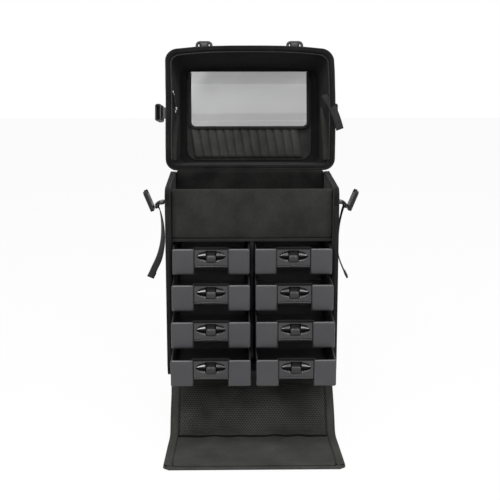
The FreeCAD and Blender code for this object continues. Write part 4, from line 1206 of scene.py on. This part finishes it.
def flap_half(place):
    """Half the flap's width, with its far corners rounded and a slight pinch where it folds."""
    share = (FLAP_HINGE.y - place.y) / (FLAP_HINGE.y - FLAP_END_Y)
    half = FLAP_NEAR_HALF + (FLAP_FAR_HALF - FLAP_NEAR_HALF) * share
    half -= FLAP_PINCH * math.exp(-((place.y - FLAP_FOLD_Y) / FLAP_PINCH_REACH) ** 2)
    to_end = max(0.0, place.y - FLAP_END_Y)
    if to_end < FLAP_CORNER:
        half -= round_off(FLAP_CORNER, FLAP_CORNER - to_end)
    return half


def flap_spot(share, across, lift):
    """A point at a share of the flap's length and half width, lifted off its underside."""
    place, up = flap_path(share)
    return place + RIGHT * across * flap_half(place) + up * lift


def flap_patch(ends, edges, under, over, rows, columns, wave):
    """A soft layer of the flap between two shares of its length and two shares of its half width."""
    start, end = ends
    left, right = edges
    half_thick = (over - under) / 2
    middle = (under + over) / 2
    top, bottom = [], []
    for row in range(rows + 1):
        share = start + (end - start) * row / rows
        place, up = flap_path(share)
        half = flap_half(place)
        near_end = min(row, rows - row) / rows * (end - start) * FLAP_ROUNDING_LENGTH
        upper, lower = [], []
        for column in range(columns + 1):
            out = (left + (right - left) * column / columns) * half
            near_side = min(column, columns - column) / columns * (right - left) * half
            edge = min(near_side, near_end) / half_thick
            swell = half_thick * math.sqrt(max(0.0, 1 - (1 - min(1.0, edge)) ** 2))
            soft = ripple((out, share * FLAP_RIPPLE_LENGTH, 1.0), size=0.055, amount=wave)
            soft *= min(1.0, edge / 3)
            spot = place + RIGHT * out
            upper.append(spot + up * (middle + swell + soft))
            lower.append(spot + up * (middle - swell))
        top.append(upper)
        bottom.append(lower)
    verts, faces = joined([skin(top, False), skin(bottom, False)])
    offset = len(verts) // 2
    rim = grid_rim(rows, columns)
    for here, there in zip(rim, rim[1:] + rim[:1]):
        faces.append((here, there, there + offset, here + offset))
    return verts, faces


def front_flap():
    """The padded flap with its net pocket, borders and hem."""
    slope = math.hypot(FLAP_HINGE.z, FLAP_HINGE.y - FLAP_FOLD_Y)
    length = slope + FLAP_FOLD_Y - FLAP_END_Y
    net_end = slope / length + NET_PAST_FOLD
    shape = flap_patch((0.0, 1.0), (-1.0, 1.0), 0.0, FLAP_THICK, rows=64, columns=60, wave=0.0016)
    panel = piece("flap_pad", *shape, [flap_cloth], "flap", "black_fabric", ["flap_panel"])
    flap_net(net_end)
    strips = []
    for _, sign in SIDES:
        edges = sorted((sign * STRIP_OUTER, sign * FLAP_INNER))
        strips.append(flap_patch(STRIP_ENDS, edges, FLAP_THICK - LAYER_SINK, FLAP_THICK + STRIP_PROUD,
                                 rows=60, columns=6, wave=0.0004))
    piece("flap_border", *joined(strips), [flap_cloth], "flap", "black_fabric", ["flap_side_strips"])
    flap_elastic(net_end)
    shape = flap_patch(HEM_ENDS, (-FLAP_INNER, FLAP_INNER), FLAP_THICK - LAYER_SINK, FLAP_THICK + HEM_PROUD,
                       rows=8, columns=60, wave=0.0005)
    piece("flap_hem", *shape, [flap_cloth], "flap", "black_fabric")
    flap_edges()
    flap_hinge_cloth()


def flap_net(net_end):
    """The net pocket between the flap's borders, from near its hinge to past its fold."""
    reach = FLAP_INNER - NET_MARGIN
    shape = flap_patch((NET_START, net_end), (-reach, reach), FLAP_THICK, FLAP_THICK + NET_THICK,
                       rows=36, columns=60, wave=0.0014)
    pocket = piece("flap_net_pocket", *shape, [net], "flap", "lining", ["flap_mesh_pocket"])
    net_widths = [2 * reach * flap_half(flap_path(share)[0]) for share in (NET_START, net_end)]


def flap_elastic(net_end):
    """The gathered elastic along the net pocket's open edge."""
    hem = []
    for column in range(ELASTIC_STEPS + 1):
        across = (FLAP_INNER - ELASTIC_MARGIN) * (2 * column / ELASTIC_STEPS - 1)
        bow = ELASTIC_BOW * math.sin(column * ELASTIC_BOW_RATE)
        bow += ripple((across, 4.0, 0), size=0.2, amount=0.004)
        hem.append(flap_spot(net_end, across, FLAP_THICK + ELASTIC_PROUD) - FORWARD * bow)
    piece("flap_pocket_elastic", *tube(hem, radius=0.0019), [lining_cloth], "flap", "black_fabric")


def flap_edges():
    """Piping round the flap's outer edge and stitches along its borders."""
    steps = FLAP_PIPING_STEPS
    left = [(step / steps, -1) for step in range(steps + 1)]
    far = [(1.0, 2 * step / steps - 1) for step in range(1, steps)]
    right = [(share, 1) for share, _ in reversed(left)]
    rim = [flap_spot(share, across, FLAP_THICK / 2) for share, across in left + far + right]
    piece("flap_piping", *tube(rim, radius=0.0028), [flap_cloth], "flap", "black_fabric")
    lines = []
    beside = FLAP_INNER + FLAP_SEAM_MARGIN
    for across in (-FLAP_SEAM_OUTER, -beside, beside, FLAP_SEAM_OUTER):
        seam = []
        for step in range(FLAP_SEAM_STEPS + 1):
            share = FLAP_SEAM_START + FLAP_SEAM_LENGTH * step / FLAP_SEAM_STEPS
            seam.append(flap_spot(share, across, FLAP_THICK + FLAP_SEAM_PROUD))
        lines.append(blocks(seam, FLAP_SEAM_OUTWARD, STITCH_PITCH, size=(0.0028, 0.0007, 0.0009)))
    piece("flap_stitches", *joined(lines), [thread_cloth], "flap", "black_fabric", smooth=False)


def flap_hinge_cloth():
    """Sewn cloth between the body's lower front edge and the flap."""
    middle_line = [Vector((0, y, z)) for y, z in FLAP_CLOTH_ON_BODY]
    middle_line += [flap_spot(share, 0, FLAP_CLOTH_LIFT) for share in FLAP_CLOTH_ON_FLAP]
    strip, loops = hinge_strip("flap_hinge_cloth", middle_line, FLAP_CLOTH_PITCH, flap_cloth)
    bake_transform(strip)


# Straps, with places as distances out from the wall and down from the strap's top

STRAP_WIDTH = 0.025
STRAP_LOOP = ((0.0, 0.001), (0.010, -0.0002), (0.020, 0.002), (0.0265, 0.007))
STRAP_TAILS = {
    "left": ((0.0235, 0.006), (0.017, 0.02), (0.0125, 0.05), (0.013, 0.085), (0.020, 0.118), (0.032, 0.145),
             (0.0405, 0.164)),
    "right": ((0.0235, 0.006), (0.0185, 0.02), (0.0125, 0.05), (0.0105, 0.085), (0.0125, 0.118),
              (0.022, 0.145), (0.0315, 0.164)),
}
STRAP_TWIST = {"left": 34, "right": 4}
STRAP_TWIST_RATE = 1.4
STRAP_HEM_RISE = 0.012
STRAP_HEM_LEAN = 0.006
STRAP_HEM_EXTRA = 0.0006
# Distance out, distance down and tilt of the bars that the webbing is threaded through
SLIDER_BARS = ((0.0125, 0.0015, 8), (0.0225, 0.0085, 48))
SLIDER_BAR_OVERHANG = 0.003
SLIDER_BAR_HALF = 0.0055


def straps():
    """A webbing strap on each side: its loop, its hanging tail with a hem, its plug and its slider."""
    bar = pillow(STRAP_WIDTH / 2 + SLIDER_BAR_OVERHANG, -SLIDER_BAR_HALF, SLIDER_BAR_HALF, corner=0.003,
                 thick=0.0062, swell=0.0005)
    for side, sign in SIDES:
        low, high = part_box(f"{side}_strap")
        root = Vector((high.x if sign < 0 else low.x, (low.y + high.y) / 2, high.z))

        def at(out, drop):
            return root + Vector((sign * out, 0, -drop))

        loop = smooth_path([at(out, drop) for out, drop in STRAP_LOOP])
        tail = smooth_path([at(out, drop) for out, drop in STRAP_TAILS[side]])
        twist = math.radians(STRAP_TWIST[side]) * sign
        turns = [twist * min(1.0, index / len(tail) * STRAP_TWIST_RATE) for index in range(len(tail))]
        across = [Vector((math.sin(turn), math.cos(turn), 0)) for turn in turns]
        hem = [tail[-1] + Vector((-sign * STRAP_HEM_LEAN, 0, STRAP_HEM_RISE)), tail[-1]]
        parts = [ribbon(loop, -FORWARD, STRAP_WIDTH, thick=0.0032),
                 ribbon(tail, across, STRAP_WIDTH, thick=0.0018),
                 ribbon(hem, across[-1], STRAP_WIDTH + STRAP_HEM_EXTRA, thick=0.0036)]
        strap = piece(f"{side}_strap_webbing", *joined(parts), [webbing], f"{side}_strap", "webbing",
                      [f"{side}_strap"])
        dress(f"{side}_strap_buckle", black_plastic, width=0.0012, segments=3)
        slider = []
        for out, drop, tilt in SLIDER_BARS:
            turn = Matrix.Rotation(math.radians(sign * tilt), 4, "Y") @ Matrix.Rotation(QUARTER, 4, "Z")
            slider.append(moved(bar, Matrix.Translation(at(out, drop)) @ turn))
        piece(f"{side}_strap_slider", *joined(slider), [black_plastic], f"{side}_strap", "black_plastic")


# Plain moulded, rubber and metal pieces: finish, edge radius, segments of the edge and nodes

HARDWARE = (
    (black_plastic, 0.0016, 3, ("base_tray", "handle_bezel", "handle_grip")),
    (black_plastic, 0.0006, 2, ("handle_button",)),
    (rack_plastic, 0.0005, 2, ("rack_sides", "rack_divider", "rack_shelves", "rack_top")),
    (black_plastic, 0.0011, 3, ("lid_side_buckles",)),
    (tyre_rubber, 0.0022, 3, ("left_wheel", "right_wheel")),
    (tyre_rubber, 0.0025, 3, ("front_feet",)),
    (bright_metal, 0.0008, 2, ("wheel_axles",)),
    (tube_metal, 0.0004, 2, ("handle_tubes",)),
    (black_plastic, 0.0004, 2, ("handle_sleeves",)),
    (webbing, 0.0015, 3, ("carry_handle",)),
)


def hardware():
    for material, width, segments, names in HARDWARE:
        for node in names:
            dress(node, material, width, segments)


# Light, floor and camera, which is fitted to the photograph's frame

WORLD_LIGHT = 0.18
# Name, place, target, size and power
LIGHTS = (
    ("overhead", (0, -0.85, 2.5), (0, -0.2, 0.3), (2.0, 0.9), 40),
    ("key", (-0.9, -2.5, 1.8), (0, -0.1, 0.35), (1.4, 1.4), 42),
    ("fill", (1.1, -2.4, 1.6), (0, -0.1, 0.4), (1.4, 1.4), 28),
    ("rim", (0.3, 1.9, 2.2), (0, 0.1, 0.5), (1.8, 1.0), 14),
)
FLOOR_REACH = 6.0
FLOOR_GREY = 0.88
FLOOR_GLOW = 0.95
CAMERA_PLACE = (-0.042, -2.285, 0.857)
CAMERA_PITCH = math.radians(12.7)
CAMERA_YAW = math.radians(1.0)
CAMERA_LENS = 79.7
CAMERA_SENSOR = 36


def background_share(tree):
    """1 for rays that should see the plain white background."""
    path = add(tree, "ShaderNodeLightPath")
    seen = math_of(tree, "MAXIMUM", path.outputs["Is Camera Ray"], path.outputs["Is Glossy Ray"])
    return math_of(tree, "MAXIMUM", seen, path.outputs["Is Transmission Ray"])


def area_light(name, place, target, size, power):
    data = bpy.data.lights.new(name, "AREA")
    data.shape = "RECTANGLE"
    data.size, data.size_y = size
    data.energy = power
    lamp = bpy.data.objects.new(name, data)
    lamp.location = place
    lamp.rotation_euler = (Vector(target) - Vector(place)).to_track_quat("-Z", "Y").to_euler()
    scene.collection.objects.link(lamp)


def studio():
    """A bright world and four soft lights."""
    world = bpy.data.worlds.new("studio")
    scene.world = world
    world.use_nodes = True
    tree = world.node_tree
    ground = tree.nodes["Background"]
    ground.inputs["Color"].default_value = (1, 1, 1, 1)
    plug(tree, remap(tree, background_share(tree), WORLD_LIGHT, 1.0), ground.inputs["Strength"])
    for light in LIGHTS:
        area_light(*light)


def white_floor():
    """A floor that looks white and keeps the object's shadow."""
    mesh = bpy.data.meshes.new("floor")
    corners = [(x * FLOOR_REACH, y * FLOOR_REACH, 0) for x, y in ((-1, -1), (1, -1), (1, 1), (-1, 1))]
    mesh.from_pydata(corners, [], [(0, 1, 2, 3)])
    floor = bpy.data.objects.new("floor", mesh)
    scene.collection.objects.link(floor)
    paint = bpy.data.materials.new("floor")
    paint.use_nodes = True
    tree = paint.node_tree
    tree.nodes.remove(tree.nodes["Principled BSDF"])
    matt = add(tree, "ShaderNodeBsdfDiffuse")
    matt.inputs["Color"].default_value = (FLOOR_GREY, FLOOR_GREY, FLOOR_GREY, 1)
    glow = add(tree, "ShaderNodeEmission")
    mixed = add(tree, "ShaderNodeMixShader")
    plug(tree, math_of(tree, "MULTIPLY", background_share(tree), FLOOR_GLOW), mixed.inputs["Fac"])
    plug(tree, matt.outputs[0], mixed.inputs[1])
    plug(tree, glow.outputs[0], mixed.inputs[2])
    plug(tree, mixed.outputs[0], tree.nodes["Material Output"].inputs["Surface"])
    mesh.materials.append(paint)


def camera():
    data = bpy.data.cameras.new("camera")
    data.lens = CAMERA_LENS
    data.sensor_width = CAMERA_SENSOR
    eye = bpy.data.objects.new("camera", data)
    eye.location = CAMERA_PLACE
    eye.rotation_euler = (QUARTER - CAMERA_PITCH, 0, -CAMERA_YAW)
    scene.collection.objects.link(eye)
    scene.camera = eye


body_shell()
lid_shell()
brush_holder()
clear_pocket()
lid_trim()
hinge_cloth()
drawers()
front_flap()
straps()
hardware()
studio()
white_floor()
camera()

bpy.context.view_layer.update()
